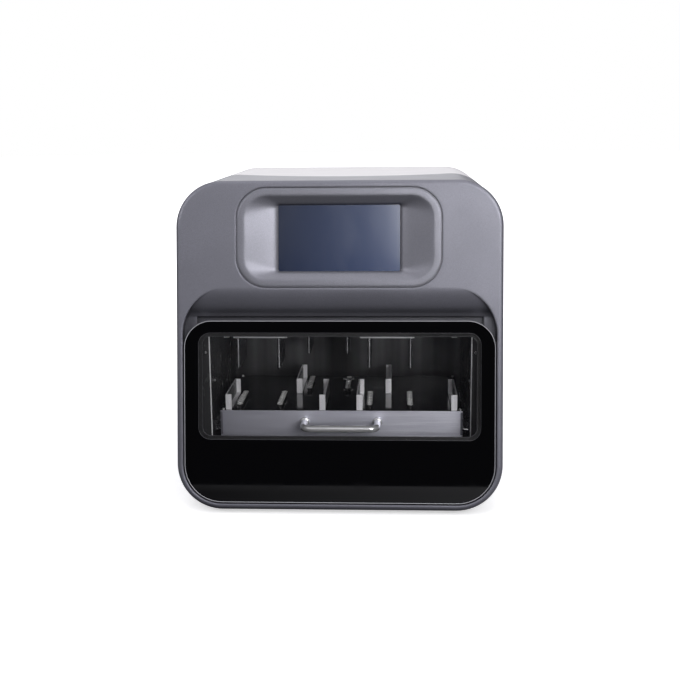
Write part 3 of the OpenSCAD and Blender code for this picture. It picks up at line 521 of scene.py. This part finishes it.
def lacquer(name, colour, rough, soft):
    """Metallic grey lacquer on a moulded skin: soft creases, and painted shade that darkens its
    hollows.
    """
    f = Finish(name, colour, metallic=0.7, rough=rough, Coat_Weight=0.25, Coat_Roughness=0.28)
    flake = f.effect("flake", Scale=2300.0)
    grain = f.effect("grain", Scale=1300.0)
    worn = f.effect("wear", Radius=0.0005, Breakup=240.0)["Worn"]
    dust = f.effect("dust", Amount=0.06)["Dust"]
    sparkle = f.toned(flake["Flake"], colour, 0.86, 1.16)
    cloud = f.spread(flake["Cloud"], 0.3, 0.7, 0.0, 0.5)
    clouded = f.tint(cloud, sparkle, shade(colour, 0.95))
    rubbed = f.tint(f.number("MULTIPLY", worn, 0.35), clouded, shade(colour, 1.5))
    dusted = f.tint(dust, rubbed, (0.55, 0.54, 0.52))
    # Painted shade: ambient occlusion darkens the colour in hollows and crevices, where shade
    # falls.
    painted_shade_probe = f.node("AmbientOcclusion", samples=6)
    painted_shade_probe.inputs["Distance"].default_value = 0.05
    painted_shade_mask = f.spread(painted_shade_probe.outputs["AO"], 0.35, 0.85)
    f.to(f.tint(painted_shade_mask, shade(colour, 0.38), dusted), "Base Color")
    f.to(f.spread(grain["Shade"], 0.3, 0.7, rough - 0.05, rough + 0.07), "Roughness")
    f.bumped(grain["Height"], 0.00004, 0.35, soft)
    return f.material


def coated(name, colour, rough=0.5, tooth=0.00006, scale=1100.0, dusty=0.15):
    """Powder coat or moulded plastic with a fine even tooth."""
    f = Finish(name, colour, rough=rough)
    grain = f.effect("grain", Scale=scale)
    worn = f.effect("wear", Radius=0.0004, Breakup=300.0)["Worn"]
    dust = f.effect("dust", Amount=dusty)["Dust"]
    mottled = f.toned(f.spread(grain["Shade"], 0.35, 0.65), colour, 0.94, 1.05)
    rubbed = f.tint(f.number("MULTIPLY", worn, 0.3), mottled, shade(colour, 1.35))
    f.to(f.tint(dust, rubbed, (0.5, 0.49, 0.47)), "Base Color")
    f.to(f.spread(grain["Shade"], 0.3, 0.7, rough - 0.06, rough + 0.08), "Roughness")
    f.bumped(grain["Height"], tooth, 0.6)
    return f.material


def brushed(
    name,
    colour,
    rough=0.32,
    stretch=(0.02, 1.0, 1.0),
    scale=2400.0,
    tooth=0.00003,
    metallic=1.0,
    painted_left_shade=0.0,
    painted_side_shade=0.0,
    painted_shade_below=0.0,
):
    """Bare or anodised metal with fine drawn lines.

    It takes painted light and shade from its last three arguments: it is darkened to the left by
    the first, a painted shade as if lit from the right; darkened to the share the second gives on
    faces across X, painted shade on faces turned from the light; and nearly black below the height
    the third gives, painted shade under stacked rims.
    """
    f = Finish(name, colour, metallic=metallic, rough=rough)
    lines = f.effect("brush", Stretch=stretch, Scale=scale)
    worn = f.effect("wear", Radius=0.0004, Breakup=260.0)["Worn"]
    dust = f.effect("dust", Amount=0.1)["Dust"]
    base = f.toned(f.spread(lines["Streak"], 0.35, 0.65), colour, 0.86, 1.08)
    # Painted shade: darker to the left, as if the light fell from the right.
    if painted_left_shade:
        painted_left_shade_mask = f.spread(f.along(f.here(), "X"), 0.15, -0.15, 0.0, painted_left_shade)
        base = f.tint(painted_left_shade_mask, base, shade(colour, 0.5))
    # Painted shade: faces turned across X are darkened, as the light misses them.
    if painted_side_shade:
        painted_side_shade_mask = f.spread(f.number("ABSOLUTE", f.facing("X")), 0.5, 0.8)
        base = f.tint(painted_side_shade_mask, base, shade(colour, painted_side_shade))
    # Painted shade: nearly black below a height, for the shade between the cups under their lit
    # rims.
    if painted_shade_below:
        blend = 0.6 * MM
        above = f.spread(f.along(f.here(), "Z"), painted_shade_below - blend, painted_shade_below + blend)
        base = f.tint(above, shade(colour, 0.06), base)
    bright = f.tint(f.number("MULTIPLY", worn, 0.5), base, shade(colour, 1.3))
    f.to(f.tint(dust, bright, (0.45, 0.44, 0.42)), "Base Color")
    f.to(f.spread(lines["Streak"], 0.3, 0.7, rough - 0.07, rough + 0.1), "Roughness")
    f.bumped(lines["Height"], tooth, 0.5)
    return f.material


def polished(name, colour, low=0.04, high=0.12, metallic=0.0, **sockets):
    """A smooth hard gloss that only wiping marks break."""
    f = Finish(name, colour, metallic=metallic, rough=low, **sockets)
    f.to(f.effect("smudge", Low=low, High=high)["Roughness"], "Roughness")
    dust = f.effect("dust", Amount=0.03)["Dust"]
    f.to(f.tint(dust, colour, (0.3, 0.3, 0.3)), "Base Color")
    return f.material


def banded(name, colour, rough):
    """Dark satin sheet with painted reflections of long lights as soft upright bands, and painted
    shade in the middle and towards the bottom.
    """
    f = Finish(name, colour, metallic=0.3, rough=rough)
    # Painted reflections: soft upright bands of light.
    painted_reflection_bands = f.effect("brush", Stretch=(1.0, 0.0, 0.0), Scale=34.0)["Streak"]
    off_centre = f.number("ABSOLUTE", f.number("ADD", f.along(f.here(), "X"), 0.012))
    # Painted reflection: brighter away from the middle, where the two lights lie.
    sides = f.spread(off_centre, 0.01, 0.035, 0.1)
    # Painted shade: darker towards the bottom.
    upper = f.spread(f.along(f.here(), "Z"), 0.11, 0.19, 0.15)
    level = f.number("MULTIPLY", f.spread(painted_reflection_bands, 0.4, 0.62, 0.3), sides)
    f.to(f.toned(f.number("MULTIPLY", level, upper), colour, 0.1, 3.3), "Base Color")
    return f.material


def rubbery(name, colour):
    """Matt moulded rubber."""
    f = Finish(name, colour, rough=0.75)
    grain = f.effect("grain", Scale=900.0)
    f.to(f.toned(f.spread(grain["Shade"], 0.35, 0.65), colour, 0.8, 1.4), "Base Color")
    f.bumped(grain["Height"], 0.00008, 0.6)
    return f.material


def clear_sheet(name, colour, body):
    """Clear acrylic sheet: faint in the middle, brighter where it turns away."""
    f = Finish(name, colour, rough=0.03, IOR=1.49)
    f.to(f.effect("smudge", Low=0.02, High=0.09)["Roughness"], "Roughness")
    turned_away = f.node("LayerWeight")
    turned_away.inputs["Blend"].default_value = 0.35
    f.to(f.spread(turned_away.outputs["Fresnel"], 0.0, 1.0, body, 0.85), "Alpha")
    return f.material


def display(name, colour):
    """A resting display under glass: deep blue with a faint even cell pattern, and a painted
    reflection that makes it lighter to the right.
    """
    f = Finish(name, colour, rough=0.2, Coat_Weight=0.4, Coat_Roughness=0.08)
    fleck = f.node("TexWhiteNoise", noise_dimensions="3D")
    f.into(f.drawn(f.here(), (4000.0, 4000.0, 4000.0)), fleck.inputs["Vector"])
    # Painted reflection: lighter to the right.
    painted_reflection_tone = f.toned(f.spread(f.along(f.here(), "X"), -0.08, 0.08), colour, 0.6, 2.0)
    faint = f.number("MULTIPLY", fleck.outputs["Value"], 0.12)
    f.to(f.tint(faint, painted_reflection_tone, shade(colour, 0.6)), "Base Color")
    f.to(f.effect("smudge", Low=0.14, High=0.24)["Roughness"], "Roughness")
    return f.material


def circuit_board(name, colour):
    """Green solder mask with lighter copper runs under it."""
    f = Finish(name, colour, rough=0.35, Coat_Weight=0.4)
    runs = f.node("TexBrick")
    runs.inputs["Scale"].default_value = 60.0
    runs.inputs["Mortar Size"].default_value = 0.03
    f.into(f.here(), runs.inputs["Vector"])
    f.to(f.tint(runs.outputs["Fac"], colour, shade(colour, 2.0)), "Base Color")
    return f.material


FINISHES = {}


def build_finishes(look):
    """Builds a material for each finish of the instrument."""
    along_x, along_z, even = (0.03, 1.0, 1.0), (1.0, 1.0, 0.03), (1.0, 1.0, 1.0)
    near_black = (0.02, 0.02, 0.022)
    FINISHES.update(
        grey_shell=lacquer("Grey shell lacquer", look.shell, 0.42, 0.0035),
        grey_surround=lacquer("Grey surround lacquer", look.surround, 0.38, 0.006),
        # Painted shade: the hinge cover is a darker copy of the shell lacquer, so the ledge above
        # the door reads as shade.
        shaded_grey=lacquer("Hinge cover lacquer", shade(look.shell, 0.75), 0.5, 0.0008),
        white_shell=coated("Pale cover", look.cover, 0.5, 0.00005, 1200.0, dusty=0.05),
        white_sheet=coated("Pale powder coat", look.cover, 0.55, 0.0001, 800.0, dusty=0.05),
        white_plastic=coated("White plastic", (0.75, 0.75, 0.74), 0.4),
        motor_black=coated("Motor black", near_black, 0.4),
        black_plastic=coated("Black plastic", near_black, 0.45, 0.00008, 900.0),
        steel_sheet=brushed("Zinc-plated sheet", (0.55, 0.56, 0.58), 0.36, along_x),
        bright_steel=brushed("Ground steel", (0.72, 0.72, 0.74), 0.2, along_z),
        screw_steel=brushed("Screw steel", (0.6, 0.6, 0.61), 0.28, even, 1500.0),
        cast_aluminium=brushed("Milled aluminium", (0.62, 0.63, 0.66), 0.36),
        cut_edge=brushed("Cut sheet edge", (0.9, 0.9, 0.92), 0.35, metallic=0.2),
        # Painted shade: the tray is darkened towards its left end.
        tray_aluminium=brushed(
            "Tray aluminium", look.tray, 0.42, along_x, 4600.0, 0.00002, 0.65, painted_left_shade=0.85
        ),
        # Painted shade: a dark copy of the tray aluminium for the strips at the tray's ends.
        tray_shadow=brushed("Tray returns", shade(look.tray, 0.28), 0.45, metallic=0.5),
        # Painted shade: the nests' side faces are darkened to a share.
        nest_metal=brushed(
            "Nest plate aluminium",
            (0.86, 0.85, 0.88),
            0.4,
            (1.0, 1.0, 0.05),
            metallic=0.45,
            painted_side_shade=0.06,
        ),
        # Painted shade: the cups are nearly black below their lit rims.
        cup_metal=brushed(
            "Turned cup metal",
            (0.95, 0.94, 0.93),
            0.22,
            (1.0, 1.0, 12.0),
            700.0,
            metallic=0.5,
            painted_shade_below=0.1221,
        ),
        rubber=rubbery("Foot rubber", (0.03, 0.03, 0.03)),
        seal_rubber=rubbery("Seal rubber", (0.015, 0.015, 0.015)),
        screen_glass=display("Display glass", look.screen),
        board_green=circuit_board("Circuit board", (0.02, 0.13, 0.06)),
        clear_window=clear_sheet("Clear window", (0.03, 0.03, 0.035), 0.04),
        back_sheet=banded("Satin back wall", look.chamber, 0.3),
        dark_sheet=polished("Dark coated sheet", shade(look.chamber, 0.55), 0.2, 0.3),
        lamp_glass=polished("Lamp glass", (0.85, 0.88, 0.92), 0.05, 0.12),
        gloss_black=polished(
            "Gloss black panel", look.panel, 0.015, 0.05, Coat_Weight=0.6, Coat_Roughness=0.02
        ),
        deck_black=polished("Gloss black deck", (0.006, 0.006, 0.007), 0.06, 0.16, IOR=1.35),
        chrome=polished("Chrome", (0.93, 0.93, 0.95), 0.2, 0.27, metallic=0.72),
        # Painted highlight: a grey line on the black door's edge.
        edge_line=polished("Door edge", (0.4, 0.4, 0.43), 0.08, 0.16),
        window_line=polished("Window edge", (0.05, 0.05, 0.055), 0.08, 0.16),
        contact_gold=polished("Contact gold", (0.75, 0.55, 0.22), 0.12, 0.2, metallic=1.0),
    )


# ------------------------------------------------------------------ settings


def colour_property(name, description, value):
    return FloatVectorProperty(
        name=name, description=description, subtype="COLOR", size=3, min=0, max=1, default=value
    )


def length_property(name, description, value):
    return FloatProperty(
        name=name, description=description, default=value, min=0, subtype="DISTANCE", unit="LENGTH"
    )


def power_property(name, light, value):
    return FloatProperty(
        name=name, description="Power of the " + light, default=value, min=0, unit="POWER"
    )


def glow_property(name, place, value):
    words = "Brightness that reaches the instrument from " + place
    return FloatProperty(name=name, description=words, default=value, min=0)


class FinishSettings(bpy.types.PropertyGroup):
    """Colours of the instrument's main finishes."""

    shell: colour_property(
        "Shell", "Metallic grey of the front moulding and hood", (0.195, 0.195, 0.23)
    )
    surround: colour_property(
        "Surround", "Metallic grey of the screen surround", (0.215, 0.215, 0.25)
    )
    cover: colour_property(
        "Cover", "Pale grey of the rear cover and back panel", (0.74, 0.72, 0.74)
    )
    panel: colour_property("Door panel", "Black of the gloss door panel", (0.002, 0.002, 0.0025))
    screen: colour_property("Screen", "Blue of the resting display", (0.022, 0.034, 0.078))
    chamber: colour_property("Chamber", "Dark coating of the chamber walls", (0.11, 0.11, 0.115))
    tray: colour_property("Tray", "Satin aluminium of the plate tray", (0.84, 0.84, 0.98))


class StageSettings(bpy.types.PropertyGroup):
    """The studio: floor, lights and camera."""

    lens: FloatProperty(
        name="Lens",
        description="Focal length on a 36 mm wide sensor",
        default=57.33,
        min=10,
        unit="CAMERA",
    )
    floor: colour_property("Floor", "Pale studio floor", (0.86, 0.86, 0.87))
    key_power: power_property("Key light", "soft light on the right", 18.0)
    fill_power: power_property("Fill light", "soft light on the left", 10.0)
    front_power: power_property("Front light", "wide light in front", 30.0)
    chamber_power: power_property("Chamber light", "small light on the tray and its fittings", 4.6)
    top_power: power_property("Top light", "wide light overhead", 12.0)
    back_power: power_property("Back light", "soft light behind", 9.0)
    below: glow_property("Below", "under the horizon", 0.1)
    horizon: glow_property("Horizon", "the horizon", 0.35)
    zenith: glow_property("Zenith", "overhead", 0.55)


class FittingSettings(bpy.types.PropertyGroup):
    """Sizes of the small fittings."""

    screw_radius: length_property("Screw head", "Radius of the deck's screw heads", 2.4 * MM)
    bead: length_property("Door lines", "Radius of the fine line round the door", 0.45 * MM)


# ----------------------------------------------------------------- the stage

# Each light has its place, its size and the name of its power in the settings.
CHAMBER_LIGHT = "Chamber light"
LIGHTS = {
    "Key light": ((1.3, -1.9, 1.5), (1.5, 1.1), "key_power"),
    "Fill light": ((-1.5, -1.6, 1.4), (1.2, 0.9), "fill_power"),
    "Front light": ((1.1, -3.1, 1.32), (2.2, 0.7), "front_power"),
    CHAMBER_LIGHT: ((0.55, -1.25, 0.34), (0.4, 0.3), "chamber_power"),
    "Top light": ((0.2, -0.2, 2.2), (2.2, 2.0), "top_power"),
    "Back light": ((-0.4, 2.2, 1.4), (1.8, 1.2), "back_power"),
}
LIGHTS_AIM = Vector((0.0, 0.0, 0.2))

# The chamber's own light reaches these nodes and the small pieces round them alone.
CHAMBER_RECEIVERS = "Chamber light receivers"
CHAMBER_METALS = (
    "tray_pan",
    "nest_left",
    "nest_right",
    "nest_middle",
    "heating_cups",
    "magnet_rods",
    "tray_handle",
    "liner_back",
)

CAMERA_PLACE = (0.06987, -1.529317, 0.49652)
CAMERA_YAW, CAMERA_PITCH, CAMERA_ROLL = -0.0509, 0.2031, -0.0091
FLOOR_RADIUS = 14.0
FLAG_X, FLAG_Y, FLAG_Z = (-3.4, 3.0), -3.2, (0.04, 0.95)


class EXTRACTOR_OT_stage(bpy.types.Operator):
    """Places the floor, the soft lights and the camera"""

    bl_idname = "extractor.stage"
    bl_label = "Studio"

    def execute(self, context):
        look = context.scene.extractor_stage
        context.scene.view_settings.view_transform = "Standard"
        self.floor(look)
        self.world(context, look)
        for name, (place, size, power) in LIGHTS.items():
            self.light(name, place, size, getattr(look, power))
        self.dark_flag()
        self.camera(context, look)
        return {"FINISHED"}

    def floor(self, look):
        """A wide pale disc that glows white with distance, seen from above alone."""
        f = Finish("Studio floor", look.floor, rough=0.6)
        f.to(f.spread(f.noise(f.here(), 3.0), 0.3, 0.7, 0.55, 0.65), "Roughness")
        away = f.node("VectorMath", operation="LENGTH")
        f.into(f.here(), away.inputs[0])
        f.shader.inputs["Emission Color"].default_value = (1, 1, 1, 1)
        f.to(f.spread(away.outputs["Value"], 0.25, 1.2, 0.5, 1.1), "Emission Strength")
        sides = f.node("MixShader")
        f.into(f.node("NewGeometry").outputs["Backfacing"], sides.inputs[0])
        f.into(f.shader.outputs[0], sides.inputs[1])
        f.into(f.node("BsdfTransparent").outputs[0], sides.inputs[2])
        f.into(sides.outputs[0], f.surface)
        bm = bmesh.new()
        bmesh.ops.create_circle(bm, cap_ends=True, segments=64, radius=FLOOR_RADIUS)
        made = placed("studio_floor", bm, f.material)
        made.visible_diffuse = made.visible_glossy = False

    def world(self, context, look):
        """White to the camera; to the instrument, pale above and dim below."""
        world = bpy.data.worlds.new("Studio")
        context.scene.world = world
        world.use_nodes = True
        tree = Tree(world.node_tree)
        world.node_tree.nodes.clear()
        seen, lit = tree.node("Background"), tree.node("Background")
        seen.inputs[0].default_value = (1.0, 1.0, 1.0, 1)
        seen.inputs[1].default_value = 1.0
        lit.inputs[0].default_value = (0.955, 0.955, 1.0, 1)
        toward = tree.node("TexCoord").outputs["Generated"]
        up = tree.along(toward, "Z")
        from_right = tree.spread(tree.along(toward, "X"), -0.2, 0.1, 0.45, 3.0)
        below_level = tree.number("MULTIPLY", from_right, look.below)
        sky_level = tree.spread(up, 0.1, 0.9, look.horizon, look.zenith)
        above = tree.spread(up, -0.005, 0.01)
        tree.into(tree.spread(above, 0.0, 1.0, below_level, sky_level), lit.inputs[1])
        mix = tree.node("MixShader")
        tree.into(tree.node("LightPath").outputs["Is Camera Ray"], mix.inputs[0])
        tree.into(lit.outputs[0], mix.inputs[1])
        tree.into(seen.outputs[0], mix.inputs[2])
        tree.into(mix.outputs[0], tree.node("OutputWorld").inputs[0])

    def light(self, name, place, size, power):
        """A soft box aimed at the instrument; the chamber's own reaches its metals alone."""
        data = bpy.data.lights.new(name, "AREA")
        data.shape, data.size, data.size_y = "RECTANGLE", size[0], size[1]
        data.energy = power
        made = bpy.data.objects.new(name, data)
        bpy.context.scene.collection.objects.link(made)
        aim = LIGHTS_AIM - Vector(place)
        turn = aim.to_track_quat("-Z", "Y").to_matrix().to_4x4()
        made.matrix_world = Matrix.Translation(place) @ turn
        if name == CHAMBER_LIGHT:
            receivers = bpy.data.collections.new(CHAMBER_RECEIVERS)
            for node in CHAMBER_METALS:
                receivers.objects.link(NODES[node])
            made.light_linking.receiver_collection = receivers

    def dark_flag(self):
        """A dark flag in front that only glossy surfaces see."""
        (x0, x1), (z0, z1) = FLAG_X, FLAG_Z
        corners = [(x0, FLAG_Y, z0), (x1, FLAG_Y, z0), (x1, FLAG_Y, z1), (x0, FLAG_Y, z1)]
        bm = bmesh.new()
        bm.faces.new([bm.verts.new(c) for c in corners])
        material = Finish("Dark flag", (0.004, 0.004, 0.005), rough=1.0).material
        made = placed("dark_flag", bm, material)
        made.visible_camera = made.visible_diffuse = False
        made.visible_shadow = made.visible_transmission = False

    def camera(self, context, look):
        """The studio camera, a little right of the middle and above the instrument."""
        data = bpy.data.cameras.new("Studio camera")
        data.lens, data.sensor_width = look.lens, 36.0
        data.clip_start, data.clip_end = 0.05, 60.0
        made = bpy.data.objects.new("Studio camera", data)
        context.scene.collection.objects.link(made)
        yaw, pitch, roll = CAMERA_YAW, CAMERA_PITCH, CAMERA_ROLL
        level = math.cos(pitch)
        ahead = Vector((math.sin(yaw) * level, math.cos(yaw) * level, -math.sin(pitch)))
        side = Vector((math.cos(yaw), -math.sin(yaw), 0.0))
        up = side.cross(ahead)
        right = side * math.cos(roll) + up * math.sin(roll)
        top = up * math.cos(roll) - side * math.sin(roll)
        turn = Matrix((right, top, -ahead)).transposed().to_4x4()
        made.matrix_world = Matrix.Translation(CAMERA_PLACE) @ turn
        context.scene.camera = made


# ---------------------------------------------------- finishes of the solids

SHELL_NODES = {
    "front_bezel": "grey_shell",
    "hood": "grey_shell",
    # The hinge cover's darker lacquer is painted shade above the door.
    "hinge_cover": "shaded_grey",
    "rear_cover": "white_shell",
    "rear_panel": "white_sheet",
    "base_plate": "steel_sheet",
    "rubber_feet": "rubber",
    "panel_screws": "screw_steel",
}
SCREEN_NODES = {
    "screen_surround": "grey_surround",
    "touch_glass": "screen_glass",
    "display_module": "board_green",
}
DOOR_NODES = {
    "door_panel": "gloss_black",
    "door_window": "clear_window",
    "door_frame": "black_plastic",
    "door_arms": "steel_sheet",
    "door_seal": "seal_rubber",
    "hinge_brackets": "steel_sheet",
    "hinge_pins": "bright_steel",
}
CHAMBER_NODES = {
    "frame_left": "steel_sheet",
    "frame_right": "steel_sheet",
    "liner_left": "dark_sheet",
    "liner_right": "dark_sheet",
    "liner_back": "back_sheet",
    "liner_roof": "dark_sheet",
    "chamber_floor": "dark_sheet",
    "tray_rails": "bright_steel",
    "uv_lamp": "lamp_glass",
    "lamp_holders": "white_plastic",
}
TRAY_NODES = {
    "tray_pan": "tray_aluminium",
    "deck_plate": "deck_black",
    "nest_left": "nest_metal",
    "nest_right": "nest_metal",
    "nest_middle": "nest_metal",
    "heating_cups": "cup_metal",
    "tray_handle": "chrome",
    "tray_runners": "bright_steel",
}
HEAD_NODES = {
    "x_carriage": "cast_aluminium",
    "comb_guides": "bright_steel",
    "comb_motor": "motor_black",
    "comb_frame": "cast_aluminium",
    "magnet_guides": "bright_steel",
    "magnet_bridge": "cast_aluminium",
    "magnet_motor": "motor_black",
    "magnet_frame": "cast_aluminium",
    "magnet_rods": "bright_steel",
    "x_screw": "bright_steel",
    "comb_screw": "bright_steel",
    "magnet_screw": "bright_steel",
    "cross_shafts": "bright_steel",
    "x_motor": "motor_black",
}
REAR_NODES = {
    "exhaust_fan": "black_plastic",
    "fan_rotor": "black_plastic",
    "fan_guard": "bright_steel",
    "power_inlet": "black_plastic",
    "switch_body": "black_plastic",
    "power_rocker": "black_plastic",
    "data_ports": "steel_sheet",
    "control_board": "board_green",
    "power_supply": "steel_sheet",
}
# Nodes whose edges are broken, with the width of the break in metres.
TRAY_EDGES = {"tray_pan": 0.0004, "nest_left": 0.0003, "nest_right": 0.0003, "nest_middle": 0.0003}


def chamber_lit(made):
    """Lets the chamber's own light reach a small piece."""
    bpy.data.collections[CHAMBER_RECEIVERS].objects.link(made)


def dress(nodes, edges=None):
    """Gives nodes their finishes, and breaks the edges of those named in edges."""
    for name, finish in nodes.items():
        for slot in NODES[name].material_slots:
            slot.material = FINISHES[finish]
    for name, width in (edges or {}).items():
        weld = NODES[name].modifiers.new("Join facets", "WELD")
        weld.merge_threshold = WELD_REACH
        edge = NODES[name].modifiers.new("Broken edges", "BEVEL")
        edge.width, edge.segments = width, 2
        edge.limit_method, edge.angle_limit = "ANGLE", SHARP_ANGLE
        edge.harden_normals = True


# ----------------------------------------------------------------- operators


class EXTRACTOR_OT_finishes(bpy.types.Operator):
    """Builds the shared effects and every finish"""

    bl_idname = "extractor.finishes"
    bl_label = "Finishes"

    def execute(self, context):
        build_effects()
        build_finishes(context.scene.extractor_finish)
        return {"FINISHED"}


class EXTRACTOR_OT_shell(bpy.types.Operator):
    """Finishes the shell: front moulding, hood, cover, panel and feet"""

    bl_idname = "extractor.shell"
    bl_label = "Shell"

    def execute(self, context):
        dress(SHELL_NODES)
        return {"FINISHED"}


class EXTRACTOR_OT_screen(bpy.types.Operator):
    """Finishes the touch screen and its surround"""

    bl_idname = "extractor.screen"
    bl_label = "Touch screen"

    def execute(self, context):
        dress(SCREEN_NODES)
        return {"FINISHED"}


class EXTRACTOR_OT_door(bpy.types.Operator):
    """Finishes the door and its window and adds the fine lines round them, the door's own line a
    painted highlight
    """

    bl_idname = "extractor.door"
    bl_label = "Door"

    def execute(self, context):
        dress(DOOR_NODES)
        radius = context.scene.extractor_fitting.bead
        for name, (outline, share, finish, slot) in DOOR_LINES.items():
            bm = bmesh.new()
            swept(bm, face_loop(*outline), bead(radius * share), -FACE_IN)
            piece(name, bm, "door", finish)
        return {"FINISHED"}


class EXTRACTOR_OT_chamber(bpy.types.Operator):
    """Finishes the working chamber and adds its walls' bright edges and screws"""

    bl_idname = "extractor.chamber"
    bl_label = "Chamber"

    def execute(self, context):
        dress(CHAMBER_NODES)
        radius = context.scene.extractor_fitting.screw_radius * 0.8
        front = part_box("liner_left")[0].y
        for side, word in ((-1, "left"), (1, "right")):
            bm = bmesh.new()
            x0, x1 = sorted(side * x for x in WALL_EDGE_X)
            slab(bm, (x0, front - WALL_EDGE_PROUD, WALL_EDGE_Z[0]), (x1, front, WALL_EDGE_Z[1]))
            chamber_lit(piece("jamb_edge_" + word, bm, "housing", "cut_edge"))
            bm = bmesh.new()
            x, z = FRONT_WALL_SCREW
            cross_screw(bm, looking((side * x, front, z), (0, -1, 0)), radius, WALL_SCREW_HEIGHT)
            x, y, z = SIDE_WALL_SCREW
            cross_screw(bm, looking((side * x, y, z), (-side, 0, 0)), radius, WALL_SCREW_HEIGHT)
            chamber_lit(piece("wall_screws_" + word, bm, "housing", "screw_steel"))
        return {"FINISHED"}


class EXTRACTOR_OT_tray(bpy.types.Operator):
    """Finishes the plate tray and adds its screws, collars, returns of painted shade and clip"""

    bl_idname = "extractor.tray"
    bl_label = "Plate tray"

    def execute(self, context):
        dress(TRAY_NODES, TRAY_EDGES)
        radius = context.scene.extractor_fitting.screw_radius
        low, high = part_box("deck_plate")
        face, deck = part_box("tray_pan")[0].y, high.z
        in_x, in_y = DECK_SCREW_INSET

        bm = bmesh.new()
        for x in (low.x + in_x, high.x - in_x):
            for y in (low.y + in_y, high.y - in_y):
                socket_screw(bm, looking((x, y, deck), (0, 0, 1)), radius, DECK_SCREW_HEIGHT)
        chamber_lit(piece("deck_screws", bm, "plate_tray", "screw_steel"))

        bm = bmesh.new()
        for x in (-HANDLE_FOOT_X, HANDLE_FOOT_X):
            turned(bm, COLLAR, looking((x, face, middle("tray_handle").z), (0, -1, 0)))
        chamber_lit(piece("handle_collars", bm, "plate_tray", "chrome"))

        # Thin dark strips on the tray's face at its ends: painted shade of the folded returns.
        bm = bmesh.new()
        z0, z1 = TRAY_RETURN_Z
        for x0, x1 in ((low.x, low.x + TRAY_RETURN), (high.x - TRAY_RETURN, high.x)):
            slab(bm, (x0, face - TRAY_RETURN_PROUD, z0), (x1, face, z1))
        piece("tray_returns", bm, "plate_tray", "tray_shadow")

        bm = bmesh.new()
        under = deck + CLIP_UNDERSIDE
        slab(bm, (-0.0035, -0.0075, under), (0.0125, -0.0045, deck + 0.009), chamfer=0.0003)
        slab(bm, (0.0035, -0.0064, deck), (0.0055, -0.0056, under))
        chamber_lit(piece("middle_clip", bm, "plate_tray", "screw_steel"))
        return {"FINISHED"}


class EXTRACTOR_OT_head(bpy.types.Operator):
    """Finishes the rod head and its drives and adds the combs' lips"""

    bl_idname = "extractor.head"
    bl_label = "Rod head"

    def execute(self, context):
        dress(HEAD_NODES)
        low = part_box("comb_frame")[0]
        y0, y1 = low.y - 0.0006, low.y + 0.001
        bm = bmesh.new()
        for x0, x1 in COMB_LIPS_X:
            slab(bm, (x0, y0, low.z - COMB_LIP_DROP), (x1, y1, low.z), chamfer=0.0001)
        chamber_lit(piece("comb_lips", bm, "comb_carrier", "cut_edge"))
        return {"FINISHED"}


class EXTRACTOR_OT_rear(bpy.types.Operator):
    """Finishes the fan, the sockets and the parts behind the panel"""

    bl_idname = "extractor.rear"
    bl_label = "Rear fittings"

    def execute(self, context):
        dress(REAR_NODES)
        low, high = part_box("exhaust_fan")
        back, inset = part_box("rear_panel")[1].y, FAN_SCREW_INSET
        bm = bmesh.new()
        for x in (low.x + inset, high.x - inset):
            for z in (low.z + inset, high.z - inset):
                place = looking((x, back, z), (0, 1, 0))
                cross_screw(bm, place, FAN_SCREW_RADIUS, FAN_SCREW_HEIGHT)
        piece("fan_screws", bm, "housing", "screw_steel")

        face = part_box("data_ports")[1].y
        at, level = middle("data_ports").x, middle("data_ports").z
        bm = bmesh.new()
        for tongue in (level - 0.004, level + 0.004):
            corner = (at - 0.0225, face - 0.0105, tongue - 0.0006)
            slab(bm, corner, (at - 0.0105, face - 0.0025, tongue + 0.0008))
        piece("usb_tongues", bm, "housing", "white_plastic")

        bm = bmesh.new()
        for k in range(CONTACT_COUNT):
            x = at + 0.0096 + CONTACT_PITCH * k
            corner = (x - CONTACT_HALF, face - 0.0105, level + 0.0052)
            slab(bm, corner, (x + CONTACT_HALF, face - 0.003, level + 0.0058))
        piece("network_contacts", bm, "housing", "contact_gold")
        return {"FINISHED"}


OPERATORS = (
    EXTRACTOR_OT_finishes,
    EXTRACTOR_OT_stage,
    EXTRACTOR_OT_shell,
    EXTRACTOR_OT_screen,
    EXTRACTOR_OT_door,
    EXTRACTOR_OT_chamber,
    EXTRACTOR_OT_tray,
    EXTRACTOR_OT_head,
    EXTRACTOR_OT_rear,
)
SETTINGS = {
    "extractor_finish": FinishSettings,
    "extractor_stage": StageSettings,
    "extractor_fitting": FittingSettings,
}


class EXTRACTOR_PT_panel(bpy.types.Panel):
    """Lists the instrument's pieces and the studio"""

    bl_idname = "EXTRACTOR_PT_panel"
    bl_label = "Benchtop Extractor"
    bl_space_type = "VIEW_3D"
    bl_region_type = "UI"
    bl_category = "Extractor"

    def draw(self, context):
        column = self.layout.column(align=True)
        for operator in OPERATORS:
            column.operator(operator.bl_idname)
        for label, settings in SETTINGS.items():
            box = self.layout.box()
            for value in settings.__annotations__:
                box.prop(getattr(context.scene, label), value)


CLASSES = (*SETTINGS.values(), *OPERATORS, EXTRACTOR_PT_panel)


def register():
    for made in CLASSES:
        bpy.utils.register_class(made)
    for label, settings in SETTINGS.items():
        setattr(bpy.types.Scene, label, PointerProperty(type=settings))


def unregister():
    for label in SETTINGS:
        delattr(bpy.types.Scene, label)
    for made in reversed(CLASSES):
        bpy.utils.unregister_class(made)


def main():
    """Registers the add-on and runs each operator."""
    register()
    for operator in OPERATORS:
        area, name = operator.bl_idname.split(".")
        getattr(getattr(bpy.ops, area), name)()
    bpy.context.view_layer.update()


if __name__ == "__main__":
    main()
